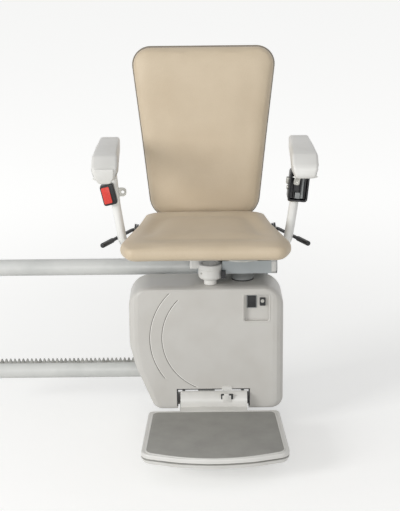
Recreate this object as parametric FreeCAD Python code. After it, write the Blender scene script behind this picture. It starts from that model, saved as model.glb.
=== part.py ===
"""Stairlift chair on a two-tube rail, as separate pieces.

Millimetres. X runs along the rail, the chair faces -Y and +Z is up. The origin is the centre of the
foot plate's bolt pattern, on the floor. The modelled stretch of rail is level.
"""
import FreeCAD
import Part

import math
import os

V = FreeCAD.Vector

# Rail
TUBE_R = 24.0
TUBE_WALL = 3.0
SOCKET_WALL = 2.5
SOCKET_DEPTH = 100.0
RAIL_LEFT = -690.0
RAIL_RIGHT = 205.0
UPPER_TUBE_Z = 445.0
LOWER_TUBE_Z = 127.0
END_CAP_LIP = 4.0
END_CAP_PLUG = 18.0
RACK_MODULE = 4.0
RACK_WIDTH = 12.0
RACK_BACKING = 1.0
PRESSURE_ANGLE = math.radians(20.0)

# Stanchion and foot plate
FOOT_LENGTH = 160.0
FOOT_WIDTH = 150.0
FOOT_THICK = 10.0
FOOT_CORNER_R = 12.0
FOOT_BOLT_X = 120.0
FOOT_BOLT_Y = 110.0
FOOT_BOLT_R = 5.5
STANCHION_LENGTH = 50.0
STANCHION_DEPTH = 30.0
STANCHION_WALL = 3.0
STUB_RISE = 20.0
STUB_REACH = 14.0

# Chassis and rollers
CHASSIS_FRONT = -52.0
CHASSIS_THICK = 6.0
CHASSIS_LEFT = -160.0
CHASSIS_RIGHT = 200.0
CHASSIS_BOTTOM = 95.0
CHASSIS_TOP = 424.0
CHASSIS_CORNER_R = 12.0
TONGUE_LEFT = -25.0
TONGUE_RIGHT = 180.0
TONGUE_CORNER_R = 16.0
ROLLER_GAP = 0.3
ROLLER_R = 16.0
ROLLER_WIDTH = 24.0
ROLLER_EDGE_R = 1.5
AXLE_R = 5.0
RUNNING_GAP = 0.05
TOP_ROLLER_X = (5.0, 158.0)
UNDER_ROLLER_X = (-130.0, 150.0)
FRONT_ROLLER_X = (-120.0, 130.0)
FRONT_ROLLER_R = 10.0
FRONT_ROLLER_HEIGHT = 16.0
FRONT_AXLE_R = 3.0
FRONT_ROLLER_EDGE_R = 1.0
EAR_THICK = 3.0

# Drive
PINION_TEETH = 14
PINION_X = -60.0
PINION_WIDTH = 12.0
MESH_GAP = 0.4
BACKLASH = 0.5
DRIVE_SHAFT_R = 8.0
SHAFT_HOLE_GAP = 2.0
GEARBOX_WIDTH = 84.0
GEARBOX_HEIGHT = 80.0
GEARBOX_DEPTH = 56.0
GEARBOX_CORNER_R = 10.0
MOTOR_R = 30.0
MOTOR_LENGTH = 120.0
MOTOR_EDGE_R = 4.0
MOTOR_GAP = 1.0
BATTERY_LENGTH = 151.0
BATTERY_DEPTH = 65.0
BATTERY_HEIGHT = 94.0
BATTERY_LEFT = -8.0
BATTERY_EDGE_R = 3.0
TRAY_Z = 146.0
TRAY_THICK = 3.0
BOARD_LEFT = -156.0
BOARD_WIDTH = 35.0
BOARD_BOTTOM = 225.0
BOARD_HEIGHT = 100.0
BOARD_THICK = 2.0
BOARD_STANDOFF = 8.0
STANDOFF_R = 3.0
STANDOFF_IN = 5.0
STANDOFF_SUNK = 0.5

# Carriage casing
CASING_FRONT = -185.0
CASING_WALL = 3.0
CASING_LEFT = -217.0
CASING_RIGHT = 218.0
CASING_TOP = 437.0
CASING_BOTTOM = 70.0
CASING_ROLL = 25.0
CASING_ROLL_STEPS = 5
CASING_SHOULDER_R = 60.0
CASING_FOOT_R = 30.0
CASING_TAPER = ((-148.0, CASING_BOTTOM, CASING_FOOT_R), (-202.0, 200.0, 60.0), (CASING_LEFT, 262.0, 90.0))
FACE_LEFT = -191.0
FACE_RIGHT = 188.0
FACE_TOP = 426.0
FACE_BOTTOM = 80.0
FACE_SHOULDER_R = 22.0
FACE_FOOT_R = 18.0
FACE_TAPER = ((-134.0, FACE_BOTTOM, FACE_FOOT_R), (-180.0, 200.0, 50.0), (FACE_LEFT, 262.0, 80.0))
NOTCH_LEFT = -82.0
NOTCH_RIGHT = 120.0
NOTCH_TOP = 132.0
NOTCH_DEPTH = 45.0
GROOVE_WIDTH = 2.4
GROOVE_DEPTH = 1.2
OUTER_ARC_X = 31.0
OUTER_ARC_Z = 285.0
OUTER_ARC_R = 190.0
OUTER_ARC_BOTTOM = 167.0
OUTER_ARC_TOP = 420.0
INNER_ARC_X = 36.0
INNER_ARC_Z = 287.0
INNER_ARC_R = 161.0
INNER_ARC_BOTTOM = 140.0
INNER_ARC_TOP = 400.0
BOSS_R = 6.0
SCREW_R = 2.5
SCREW_HEAD_R = 4.5
SCREW_HEAD = 3.0
SCREW_LENGTH = 24.0
BOSS_PLACES = ((-145.0, 340.0), (190.0, 300.0), (186.0, 120.0), (-145.0, 165.0))

# Controls on the casing
RECESS_LEFT = 105.0
RECESS_RIGHT = 178.0
RECESS_BOTTOM = 334.0
RECESS_TOP = 416.0
RECESS_DEPTH = 11.0
RECESS_CORNER_R = 7.0
TRAY_WALL = 2.0
ROCKER_X = 128.5
ROCKER_Z = 391.5
ROCKER_WIDTH = 25.0
ROCKER_HEIGHT = 35.0
ROCKER_DEPTH = 6.0
ROCKER_GAP = 1.4
ROCKER_STEM = 9.0
STEM_IN = 4.0
PIVOT_BACK = 6.0
PIVOT_R = 1.5
PIVOT_GAP = 0.15
PIVOT_EAR = 3.0
PIVOT_EAR_HALF = 5.0
KEY_BODY_LEFT = 151.0
KEY_BODY_RIGHT = 167.0
KEY_BODY_BOTTOM = 380.0
KEY_BODY_TOP = 403.0
KEY_BODY_DEPTH = 6.0
KEY_X = 158.5
KEY_Z = 394.0
KEY_R = 5.0
KEY_DEPTH = 6.5

# Post, carrier and swivel
POST_X = 105.0
POST_Y = -102.0
POST_R = 25.0
POST_WALL = 4.0
POST_BOTTOM = 346.0
CLAMP_SIDE = 8.0
CLAMP_THICK = 10.0
CLAMP_GAP = 4.0
CARRIER_LEFT = 47.0
CARRIER_RIGHT = 184.0
CARRIER_FRONT = -160.0
CARRIER_BOTTOM = 469.0
CARRIER_TOP = 505.0
CARRIER_WALL = 4.0
GROMMET_R = 31.5
GROMMET_RISE = 2.5
COLLAR_R = 47.5
COLLAR_WAIST_R = 31.0
COLLAR_BOTTOM = 440.0
COLLAR_LIP = 4.0
LEFT_COVER_END = -44.0
LEFT_COVER_FRONT = -114.0
RIGHT_COVER_END = 199.0
COVER_SET_BACK = 2.0
COVER_FRONT_R = 10.0
COVER_REAR_R = 5.0
COVER_FOOT_R = 4.0
COVER_BOTTOM = 471.0
COVER_TOP = 501.0
DRUM_X = 13.0
DRUM_Y = -150.0
DRUM_R = 33.5
DRUM_BOTTOM = 452.0
DRUM_TOP = 498.0
DRUM_BOSS_R = 18.0
CONNECTOR_LENGTH = 13.0
CONNECTOR_WIDTH = 15.0
CONNECTOR_HEIGHT = 20.0
INDEX_R = 70.0
INDEX_THICK = 6.0
INDEX_RING = 55.0
INDEX_SLOT_HALF = 5.4
INDEX_POCKET_R = 7.0
LATCH_ANGLE = 180.0
SWIVEL_LIMIT = 80.0
INDEX_STOPS = (0.0, -40.0, 40.0, -SWIVEL_LIMIT, SWIVEL_LIMIT)
SWIVEL_GAP = 0.5
SWIVEL_THICK = 10.0
SWIVEL_R = 80.0
SPIGOT_LENGTH = 70.0
NECK_LEFT = 60.0
NECK_RIGHT = 150.0
NECK_FRONT = -150.0
NECK_BACK = -60.0
LATCH_PIN_R = 5.0
LATCH_HEAD_R = 8.0
LATCH_HEAD = 5.0
LATCH_TIP_GAP = 0.5
LATCH_PROUD = 8.5
NECK_HEIGHT = 35.5

# Seat frame
FRAME_HALF = 162.0
FRAME_FRONT = -290.0
FRAME_BACK = -30.0
FRAME_THICK = 8.0
FRAME_CORNER_R = 20.0
BUFFER_R = 12.5
BUFFER_X = 100.0
BUFFER_Y = -262.0
SEAT_HINGE_Y = -150.0
SEAT_HINGE_RISE = 35.0
HINGE_EAR_GAP = 1.5
HINGE_EAR_THICK = 5.0
HINGE_EAR_LENGTH = 30.0
HINGE_EAR_R = 12.0
HINGE_BASE_THICK = 4.0
HINGE_BASE_IN = 20.0
LEAF_GAP = 6.0
LEAF_THICK = 4.5
LEAF_BASE_THICK = 3.0
LEAF_EAR_FRONT = 14.0
LEAF_EAR_R = 11.0
LEAF_FRONT = -225.0
LEAF_BACK = -138.0
LEAF_INNER_X = 140.0
SEAT_PIN_R = 4.0
SHAFT_Y = -60.0
SHAFT_RISE = 8.0
SHAFT_R = 5.0
BEARING_X = 142.0
BEARING_WIDTH = 16.0
BEARING_DEPTH = 22.0
BEARING_WALL = 5.0

# Seat board and cushion
BUFFER_HEIGHT = 17.0
BOARD_SEAT_THICK = 12.0
SEAT_BACK = -120.0
SEAT_FRONT = -470.0
SEAT_HALF_REAR = 178.0
SEAT_HALF_WAIST = 192.0
SEAT_HALF_FRONT = 227.0
SEAT_WAIST_Y = -240.0
SEAT_WIDE_Y = -410.0
SEAT_NOSE_TAPER = 22.0
SEAT_REAR_R = 26.0
SEAT_WAIST_R = 320.0
SEAT_SIDE_R = 60.0
SEAT_FRONT_R = 34.0
SEAT_EDGE = 41.0
SEAT_CROWN = 5.0
SEAT_BOARD_INSET = 16.0
SEAT_BOARD_FRONT = -400.0
SEAT_BOARD_HALF = 190.0
CUSHION_LEAST_R = 14.0
SEAT_SIDE_SHAPE = ((0.0, 12.0), (0.12, 4.0), (0.45, 0.0), (0.75, 3.0), (1.0, 14.0))
SEAT_CROWN_SHAPE = ((0.6, 45.0), (1.0, 90.0))

# Backrest
BACK_FRONT = -115.0
BACK_RISE = 47.0
BACK_LENGTH = 481.0
BACK_LEAN = 5.4
BACK_THICK = 46.0
BACK_CROWN = 9.0
BACK_HALF_LOW = 148.0
BACK_HALF_HIGH = 203.0
BACK_DRAWN_IN = 1.0
BACK_FOOT_R = 64.0
BACK_WAIST_R = 1500.0
BACK_CORNER_R = 50.0
BACK_SIDE_SHAPE = ((0.0, 5.0), (0.3, 0.0), (0.7, 3.0), (1.0, 14.0))
BACK_CROWN_SHAPE = ((0.6, 42.0), (1.0, 80.0))
SHELL_THICK = 8.0
SHELL_LIP = 1.0
SHELL_EDGE_R = 3.0
SPINE_HALF = 60.0
SPINE_THICK = 8.0
SPINE_TOP = 400.0
SPINE_START = 20.0
SPINE_FOOT_HEIGHT = 30.0
SPINE_BEND_R = 6.0
SPINE_SHAFT_GAP = 7.0

# Arms
ARM_Y = -170.0
ARM_TUBE_R = 12.5
ARM_INNER_X = 135.0
ARM_ELBOW_X = 225.0
ARM_ELBOW_R = 45.0
ARM_KNEE_R = 500.0
ARM_MID_X = 244.0
ARM_MID_RISE = 107.0
ARM_TOP_X = 257.0
ARM_HINGE_RISE = 250.0
ARM_EYE_R = 12.0
ARM_EYE_WIDTH = 32.0
ARM_PIN_R = 4.0
PAD_X = 258.0
PAD_BACK = -130.0
PAD_BREAK = -335.0
PAD_NOSE = -403.0
PAD_RISE = 40.0
PAD_DROP = 4.0
PAD_BREAK_DROP = 11.0
PAD_NOSE_RISE = 9.0
PAD_NOSE_DROP = 18.0
PAD_NOSE_RAKE = 3.0
PAD_HALF_REAR = 26.5
PAD_HALF_WIDE = 31.5
PAD_HALF_NOSE = 28.0
PAD_EDGE_R = 6.0
PAD_SIDE_EDGE_R = 8.0
PAD_BREAK_R = 40.0
PAD_NOSE_R = 14.0
PAD_REAR_R = 6.0
PAD_SIDE_R = 90.0
PAD_NOSE_CORNER_R = 20.0
PAD_SLOT_GAP = 4.5
ARM_PIN_HOLD = 7.0
PAD_SLOT_FRONT = 14.0
PAD_SLOT_ROOF = 2.0
MOUTH_HALF = 15.0
MOUTH_DEPTH = 19.0
MOUTH_ROOF = 5.0
POCKET_DEPTH = 21.0
POCKET_ROOF = 3.0
TOGGLE_GAP = 3.0
TOGGLE_PROUD = 1.0
TOGGLE_DEPTH = 17.0
TOGGLE_DROP = 1.0
TOGGLE_CORNER_R = 6.0
TOGGLE_EDGE_R = 3.0
TOGGLE_ROOF = 2.0
TOGGLE_PIN_R = 3.0
TOGGLE_PIN_RISE = 11.0
TOGGLE_PIN_GAP = 0.2

# Belt parts
BUCKLE_X = -262.0
BUCKLE_RISE = 143.0
BUCKLE_SEAT = 0.5
BUCKLE_CORNER_R = 9.0
BUCKLE_EDGE_R = 4.0
BUCKLE_WIDTH = 38.0
BUCKLE_HEIGHT = 58.0
BUCKLE_DEPTH = 26.0
BUTTON_WIDTH = 25.0
BUTTON_HEIGHT = 32.0
BUTTON_DEPTH = 9.0
BUTTON_THICK = 4.0
BUTTON_PROUD = 1.5
BUTTON_OFFSET = 3.0
BUTTON_CORNER_R = 5.0
BUTTON_EDGE_R = 1.2
BUTTON_GAP = 0.3
LUG_THICK = 5.0
LUG_REACH = 20.0
LUG_LOW = 11.0
LUG_HIGH = 13.0
LUG_END_R = 10.0
LUG_HOLE_R = 4.5
RETRACTOR_X = 254.0
RETRACTOR_RISE = 165.0
RETRACTOR_SEAT = 0.3
RETRACTOR_CORNER_R = 10.0
RETRACTOR_EDGE_R = 5.0
RETRACTOR_WIDTH = 54.0
RETRACTOR_HEIGHT = 84.0
RETRACTOR_DEPTH = 46.0
TONGUE_THICK = 3.0
TONGUE_OFFSET = -2.0
TONGUE_HALF = 15.0
TONGUE_LOW = 4.0
TONGUE_HIGH = 28.0
TONGUE_CORNER_R = 5.0
TONGUE_HOLE_HALF = 10.0
TONGUE_HOLE_LOW = 2.0
TONGUE_HOLE_HIGH = 12.0
TONGUE_HOLE_R = 2.0
BELT_SLOT_HALF = 18.0
BELT_SLOT_DEPTH = 9.0
BELT_SLOT_LOW = 15.0
BELT_SLOT_HIGH = 21.0

# Swivel release levers
LEVER_SHAFT_X = 204.0
LEVER_TIP_X = 281.0
LEVER_TIP_Y = -228.0
LEVER_BEND_R = 24.0
GRIP_R = 7.0
GRIP_LENGTH = 62.0
GRIP_CAP = 2.0
GRIP_END_R = 4.0

# Footrest
FOOTREST_HINGE_Y = -180.0
FOOTREST_HINGE_Z = 100.0
FOOTREST_PIN_R = 5.0
FOOTREST_X = 20.0
PLATFORM_BACK = -232.0
PLATFORM_FRONT = -522.0
PLATFORM_BOW = 44.0
BOW_QUARTER = 0.72
BOW_QUARTER_R = 260.0
BOW_MIDDLE_R = 400.0
PLATFORM_EDGE_R = 4.0
PLATFORM_HALF_BACK = 184.0
PLATFORM_HALF_FRONT = 197.0
PLATFORM_CORNER_R = 34.0
PLATFORM_REAR_R = 16.0
PLATFORM_TOP = 88.0
PLATFORM_BOTTOM = 76.0
MAT_PROUD = 1.5
MAT_POCKET = 3.0
MAT_MARGIN = 15.0
MAT_GAP = 0.3
MAT_EDGE_R = 1.0
PAN_TOP = 71.0
PAN_BOTTOM = 60.0
PAN_DRAFT = 5.0
PAN_POST_R = 5.0
PAN_POST_SPREAD = 0.7
PAN_POST_IN = 45.0
PAN_TRAVEL = 4.5
POST_END_GAP = 0.5
PAN_BORE_ROOF = 1.0
KNUCKLE_R = 11.0
KNUCKLE_HALF = 62.0
COVER_LEFT = -74.5
COVER_RIGHT = 114.5
COVER_R = 29.5
COVER_WALL = 3.5
COVER_CHEEK = 2.0
COVER_AHEAD = 6.0
BRACKET_LEFT = -70.0
BRACKET_RIGHT = 108.0
SIDE_ARM_THICK = 8.0
ARM_ROOT_UP = 28.0
ARM_ROOT_DOWN = 4.0
ARM_RISE_BACK = 46.0
ARM_RISE_UP = 18.0
ARM_DIP_BACK = 34.0
ARM_DIP_UP = 1.5
ARM_KNEE_BACK = 20.0
ARM_KNEE_DOWN = 14.0
ARM_NOSE = 10.0
ARM_NOSE_HALF = 11.0
ARM_NOSE_R = 9.0
ARM_BEND_R = 4.0
HINGE_PIN_PROUD = 1.5
TAB_LEFT = 43.0
TAB_RIGHT = 72.0
TAB_TOP = 142.0
TAB_HEIGHT = 11.5
TAB_CORNER_R = 4.0
TAB_PROUD = 3.5

# Worked out from the sizes above
RACK_TIP_Z = LOWER_TUBE_Z + TUBE_R + RACK_BACKING + 2.25 * RACK_MODULE
PITCH_R = PINION_TEETH * RACK_MODULE / 2
PINION_Z = RACK_TIP_Z - RACK_MODULE + PITCH_R + MESH_GAP
CHASSIS_REAR = CHASSIS_FRONT + CHASSIS_THICK
TOP_ROLLER_Z = UPPER_TUBE_Z + TUBE_R + ROLLER_GAP + ROLLER_R
UNDER_ROLLER_Z = UPPER_TUBE_Z - TUBE_R - ROLLER_GAP - ROLLER_R
FRONT_ROLLER_Y = -TUBE_R - ROLLER_GAP - FRONT_ROLLER_R
INDEX_TOP = CARRIER_TOP + INDEX_THICK
SWIVEL_BOTTOM = INDEX_TOP + SWIVEL_GAP
SWIVEL_TOP = SWIVEL_BOTTOM + SWIVEL_THICK
LATCH_TOP = SWIVEL_TOP + LATCH_PROUD
FRAME_BOTTOM = SWIVEL_TOP + NECK_HEIGHT
FRAME_TOP = FRAME_BOTTOM + FRAME_THICK
SHAFT_Z = FRAME_TOP + SHAFT_RISE
SEAT_HINGE_Z = FRAME_TOP + SEAT_HINGE_RISE
BOARD_SEAT_BOTTOM = FRAME_TOP + BUFFER_HEIGHT
SEAT_BOTTOM = BOARD_SEAT_BOTTOM + BOARD_SEAT_THICK
LEAF_X = SEAT_HALF_REAR + LEAF_GAP
HINGE_EAR_X = LEAF_X + LEAF_THICK + HINGE_EAR_GAP
BACK_BOTTOM = FRAME_TOP + BACK_RISE
ARM_RUN_Z = FRAME_BOTTOM - ARM_TUBE_R
ARM_MID_Z = FRAME_TOP + ARM_MID_RISE
ARM_HINGE_Z = FRAME_TOP + ARM_HINGE_RISE
PAD_TOP = ARM_HINGE_Z + PAD_RISE
PAD_LOW = ARM_HINGE_Z - PAD_DROP
PAD_BREAK_LOW = ARM_HINGE_Z - PAD_BREAK_DROP
PAD_NOSE_TOP = ARM_HINGE_Z + PAD_NOSE_RISE
PAD_NOSE_LOW = ARM_HINGE_Z - PAD_NOSE_DROP
BUCKLE_Z = FRAME_TOP + BUCKLE_RISE
BUCKLE_FRONT = ARM_Y - ARM_TUBE_R * BUCKLE_SEAT - BUCKLE_DEPTH
RETRACTOR_Z = FRAME_TOP + RETRACTOR_RISE
RETRACTOR_FRONT = ARM_Y - ARM_TUBE_R * RETRACTOR_SEAT - RETRACTOR_DEPTH


def box(x0, x1, y0, y1, z0, z1):
    """A block between two corners."""
    return Part.makeBox(x1 - x0, y1 - y0, z1 - z0, V(x0, y0, z0))


def rod(radius, start, end):
    """A round bar from one point to another."""
    along = end - start
    return Part.makeCylinder(radius, along.Length, start, along)


def rounded_wire(corners, place):
    """A closed outline of (u, v, radius) corners, with round corners, put in space by place(u, v)."""
    count = len(corners)
    trims = []
    for i in range(count):
        u, v, radius = corners[i]
        before = corners[i - 1]
        after = corners[(i + 1) % count]
        a = V(before[0] - u, before[1] - v, 0).normalize()
        b = V(after[0] - u, after[1] - v, 0).normalize()
        here = V(u, v, 0)
        half = a.getAngle(b) / 2
        if radius <= 0 or math.pi / 2 - half < 1e-6:
            trims.append((here, here, here))
            continue
        back = radius / math.tan(half)
        middle = here + (a + b).normalize() * (radius / math.sin(half) - radius)
        trims.append((here + a * back, middle, here + b * back))
    edges = []
    for i in range(count):
        first, middle, last = trims[i]
        following = trims[(i + 1) % count][0]
        if (last - first).Length > 1e-6:
            arc = Part.Arc(place(first.x, first.y), place(middle.x, middle.y), place(last.x, last.y))
            edges.append(arc.toShape())
        if (following - last).Length > 1e-6:
            edges.append(Part.LineSegment(place(last.x, last.y), place(following.x, following.y)).toShape())
    return Part.Wire(edges)


def prism(corners, place, along):
    """A block with a rounded outline."""
    return Part.Face(rounded_wire(corners, place)).extrude(along)


def at_y(y):
    """Places (x, z) outlines on the plane at this y."""
    return lambda x, z: V(x, y, z)


def at_z(z):
    """Places (x, y) outlines on the plane at this z."""
    return lambda x, y: V(x, y, z)


def at_x(x):
    """Places (y, z) outlines on the plane at this x."""
    return lambda y, z: V(x, y, z)


def rectangle(u0, u1, v0, v1, radius):
    """The corners of a rectangle with one corner radius."""
    return [(u0, v0, radius), (u1, v0, radius), (u1, v1, radius), (u0, v1, radius)]


def bent_path(points, radii):
    """Straight runs through the points, joined by tangent arcs of these radii."""
    edges = []
    start = points[0]
    for i in range(1, len(points) - 1):
        a = (points[i - 1] - points[i]).normalize()
        b = (points[i + 1] - points[i]).normalize()
        half = a.getAngle(b) / 2
        back = radii[i - 1] / math.tan(half)
        first = points[i] + a * back
        last = points[i] + b * back
        middle = points[i] + (a + b).normalize() * (radii[i - 1] / math.sin(half) - radii[i - 1])
        edges.append(Part.LineSegment(start, first).toShape())
        edges.append(Part.Arc(first, middle, last).toShape())
        start = last
    edges.append(Part.LineSegment(start, points[-1]).toShape())
    return Part.Wire(edges)


def bent_rod(points, radii, radius):
    """A round bar swept along a bent path."""
    path = bent_path(points, radii)
    circle = Part.Wire(Part.makeCircle(radius, points[0], points[1] - points[0]))
    return path.makePipeShell([circle], True, True)


def mirrored(shape):
    """The same shape on the other side of the seat's middle."""
    return shape.mirror(V(0, 0, 0), V(1, 0, 0))


def stacked_cushion(corners, place_at, levels):
    """A cushion lofted through its outline, drawn in by a different amount at each level."""
    rings = []
    for level, inset in levels:
        rings.append(rounded_wire(drawn_in(corners, inset, CUSHION_LEAST_R), place_at(level)))
    return Part.makeLoft(rings, True, False)


def rail_tube(z):
    """One open tube of the rail, reamed at its left end for the next tube's joining spigot."""
    outer = rod(TUBE_R, V(RAIL_LEFT, 0, z), V(RAIL_RIGHT, 0, z))
    inner = rod(TUBE_R - TUBE_WALL, V(RAIL_LEFT, 0, z), V(RAIL_RIGHT, 0, z))
    socket = rod(TUBE_R - SOCKET_WALL, V(RAIL_LEFT, 0, z), V(RAIL_LEFT + SOCKET_DEPTH, 0, z))
    return outer.cut(inner.fuse(socket))


def rail_end_caps():
    """Plugs that close the right-hand ends of both tubes."""
    caps = []
    for z in (UPPER_TUBE_Z, LOWER_TUBE_Z):
        lip = rod(TUBE_R, V(RAIL_RIGHT, 0, z), V(RAIL_RIGHT + END_CAP_LIP, 0, z))
        lip = lip.makeFillet(END_CAP_LIP / 2, [max(lip.Edges, key=lambda e: e.BoundBox.XMin)])
        plug = rod(TUBE_R - TUBE_WALL, V(RAIL_RIGHT - END_CAP_PLUG, 0, z), V(RAIL_RIGHT, 0, z))
        caps.append(lip.fuse(plug).removeSplitter())
    return Part.makeCompound(caps)


def drive_rack():
    """The toothed bar seated along the top of the lower tube."""
    pitch = math.pi * RACK_MODULE
    root_z = RACK_TIP_Z - 2.25 * RACK_MODULE
    slope = math.tan(PRESSURE_ANGLE)
    tip_half = pitch / 4 - RACK_MODULE * slope
    root_half = pitch / 4 + 1.25 * RACK_MODULE * slope
    first = math.ceil((RAIL_LEFT + pitch - PINION_X) / pitch)
    last = math.floor((RAIL_RIGHT - pitch - PINION_X) / pitch)
    points = [V(RAIL_LEFT, -RACK_WIDTH / 2, root_z)]
    for k in range(first, last + 1):
        centre = PINION_X + (k - 0.5) * pitch
        tooth = ((-root_half, root_z), (-tip_half, RACK_TIP_Z), (tip_half, RACK_TIP_Z), (root_half, root_z))
        for offset, z in tooth:
            points.append(V(centre + offset, -RACK_WIDTH / 2, z))
    points.append(V(RAIL_RIGHT, -RACK_WIDTH / 2, root_z))
    points.append(V(RAIL_RIGHT, -RACK_WIDTH / 2, LOWER_TUBE_Z))
    points.append(V(RAIL_LEFT, -RACK_WIDTH / 2, LOWER_TUBE_Z))
    points.append(points[0])
    bar = Part.Face(Part.makePolygon(points)).extrude(V(0, RACK_WIDTH, 0))
    return bar.cut(rod(TUBE_R, V(RAIL_LEFT - 1, 0, LOWER_TUBE_Z), V(RAIL_RIGHT + 1, 0, LOWER_TUBE_Z)))


def rail_stanchion():
    """The post behind the rail, with a stub out to each tube."""
    front = TUBE_R + STUB_REACH
    back = front + STANCHION_DEPTH
    half = STANCHION_LENGTH / 2
    top = UPPER_TUBE_Z + STUB_RISE
    post = box(-half, half, front, back, FOOT_THICK, top)
    wall = STANCHION_WALL
    hollow = box(-half + wall, half - wall, front + wall, back - wall, FOOT_THICK, top - wall)
    shape = post.cut(hollow)
    for z in (UPPER_TUBE_Z, LOWER_TUBE_Z):
        stub = box(-half, half, 0, front, z - STUB_RISE / 2, z + STUB_RISE / 2)
        stub = stub.cut(rod(TUBE_R, V(-half - 1, 0, z), V(half + 1, 0, z)))
        shape = shape.fuse(stub)
    return shape.removeSplitter()


def foot_plate():
    """The floor plate, with its four bolt holes about the origin."""
    outline = rectangle(-FOOT_LENGTH / 2, FOOT_LENGTH / 2, -FOOT_WIDTH / 2, FOOT_WIDTH / 2, FOOT_CORNER_R)
    plate = prism(outline, at_z(0), V(0, 0, FOOT_THICK))
    for x in (-FOOT_BOLT_X / 2, FOOT_BOLT_X / 2):
        for y in (-FOOT_BOLT_Y / 2, FOOT_BOLT_Y / 2):
            plate = plate.cut(rod(FOOT_BOLT_R, V(x, y, 0), V(x, y, FOOT_THICK)))
    return plate


def chassis_plate():
    """The carriage's steel plate, with its roller tongue, tray ledge and front roller ears."""
    top = TOP_ROLLER_Z + ROLLER_R
    corners = [
        (CHASSIS_LEFT, CHASSIS_BOTTOM, CHASSIS_CORNER_R), (CHASSIS_RIGHT, CHASSIS_BOTTOM, CHASSIS_CORNER_R),
        (CHASSIS_RIGHT, CHASSIS_TOP, CHASSIS_CORNER_R), (TONGUE_RIGHT, CHASSIS_TOP, TONGUE_CORNER_R / 2),
        (TONGUE_RIGHT, top, TONGUE_CORNER_R), (TONGUE_LEFT, top, TONGUE_CORNER_R),
        (TONGUE_LEFT, CHASSIS_TOP, TONGUE_CORNER_R / 2), (CHASSIS_LEFT, CHASSIS_TOP, CHASSIS_CORNER_R),
    ]
    plate = prism(corners, at_y(CHASSIS_FRONT), V(0, CHASSIS_THICK, 0))
    for x in TOP_ROLLER_X:
        plate = plate.cut(axle_at(x, TOP_ROLLER_Z))
    for x in UNDER_ROLLER_X:
        plate = plate.cut(axle_at(x, UNDER_ROLLER_Z))
    hole_r = DRIVE_SHAFT_R + SHAFT_HOLE_GAP
    plate = plate.cut(rod(hole_r, V(PINION_X, CHASSIS_FRONT, PINION_Z), V(PINION_X, CHASSIS_REAR, PINION_Z)))
    for x, z in BOSS_PLACES:
        plate = plate.cut(rod(SCREW_R, V(x, CHASSIS_FRONT, z), V(x, CHASSIS_REAR, z)))
    for x in FRONT_ROLLER_X:
        for z in front_ear_levels():
            ear_back = FRONT_ROLLER_Y + FRONT_AXLE_R - 1
            ear = box(x - FRONT_ROLLER_R, x + FRONT_ROLLER_R, CHASSIS_REAR, ear_back, z, z + EAR_THICK)
            plate = plate.fuse(ear.cut(front_axle(x)))
    ledge_front = CHASSIS_FRONT - GEARBOX_DEPTH
    ledge_right = BATTERY_LEFT + BATTERY_LENGTH
    ledge = box(BATTERY_LEFT, ledge_right, ledge_front, CHASSIS_FRONT, TRAY_Z - TRAY_THICK, TRAY_Z)
    return plate.fuse(ledge).removeSplitter()


def front_ear_levels():
    """The undersides of the two ears that hold a front roller's axle."""
    half = FRONT_ROLLER_HEIGHT / 2 + ROLLER_GAP
    return (LOWER_TUBE_Z - half - EAR_THICK, LOWER_TUBE_Z + half)


def axle_at(x, z):
    """A roller axle fixed in the chassis."""
    return rod(AXLE_R, V(x, CHASSIS_FRONT, z), V(x, ROLLER_WIDTH / 2, z))


def front_axle(x):
    """The upright axle of a front roller."""
    low, high = front_ear_levels()
    return rod(FRONT_AXLE_R, V(x, FRONT_ROLLER_Y, low), V(x, FRONT_ROLLER_Y, high + EAR_THICK))


def roller_axles():
    """The six axles fixed in the chassis."""
    axles = [axle_at(x, TOP_ROLLER_Z) for x in TOP_ROLLER_X]
    axles += [axle_at(x, UNDER_ROLLER_Z) for x in UNDER_ROLLER_X]
    axles += [front_axle(x) for x in FRONT_ROLLER_X]
    return Part.makeCompound(axles)


def tube_roller(x, z):
    """A roller that runs above or below the upper tube."""
    half = ROLLER_WIDTH / 2
    shape = rod(ROLLER_R, V(x, -half, z), V(x, half, z))
    shape = shape.makeFillet(ROLLER_EDGE_R, shape.Edges[0:1] + shape.Edges[2:3])
    return shape.cut(rod(AXLE_R + RUNNING_GAP, V(x, -half, z), V(x, half, z)))


def front_roller(x):
    """A roller that runs on the front of the lower tube."""
    half = FRONT_ROLLER_HEIGHT / 2
    low = V(x, FRONT_ROLLER_Y, LOWER_TUBE_Z - half)
    high = V(x, FRONT_ROLLER_Y, LOWER_TUBE_Z + half)
    shape = rod(FRONT_ROLLER_R, low, high)
    shape = shape.makeFillet(FRONT_ROLLER_EDGE_R, shape.Edges[0:1] + shape.Edges[2:3])
    return shape.cut(rod(FRONT_AXLE_R + RUNNING_GAP, low, high))


def involute_half_angle(radius):
    """Half the angle of a pinion tooth at this radius, with its share of the backlash."""
    base = PITCH_R * math.cos(PRESSURE_ANGLE)
    at_pitch = math.pi / (2 * PINION_TEETH) - BACKLASH / (2 * PITCH_R)
    at_base = at_pitch + math.tan(PRESSURE_ANGLE) - PRESSURE_ANGLE
    if radius <= base:
        return at_base
    turn = math.acos(base / radius)
    return at_base - (math.tan(turn) - turn)


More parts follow.
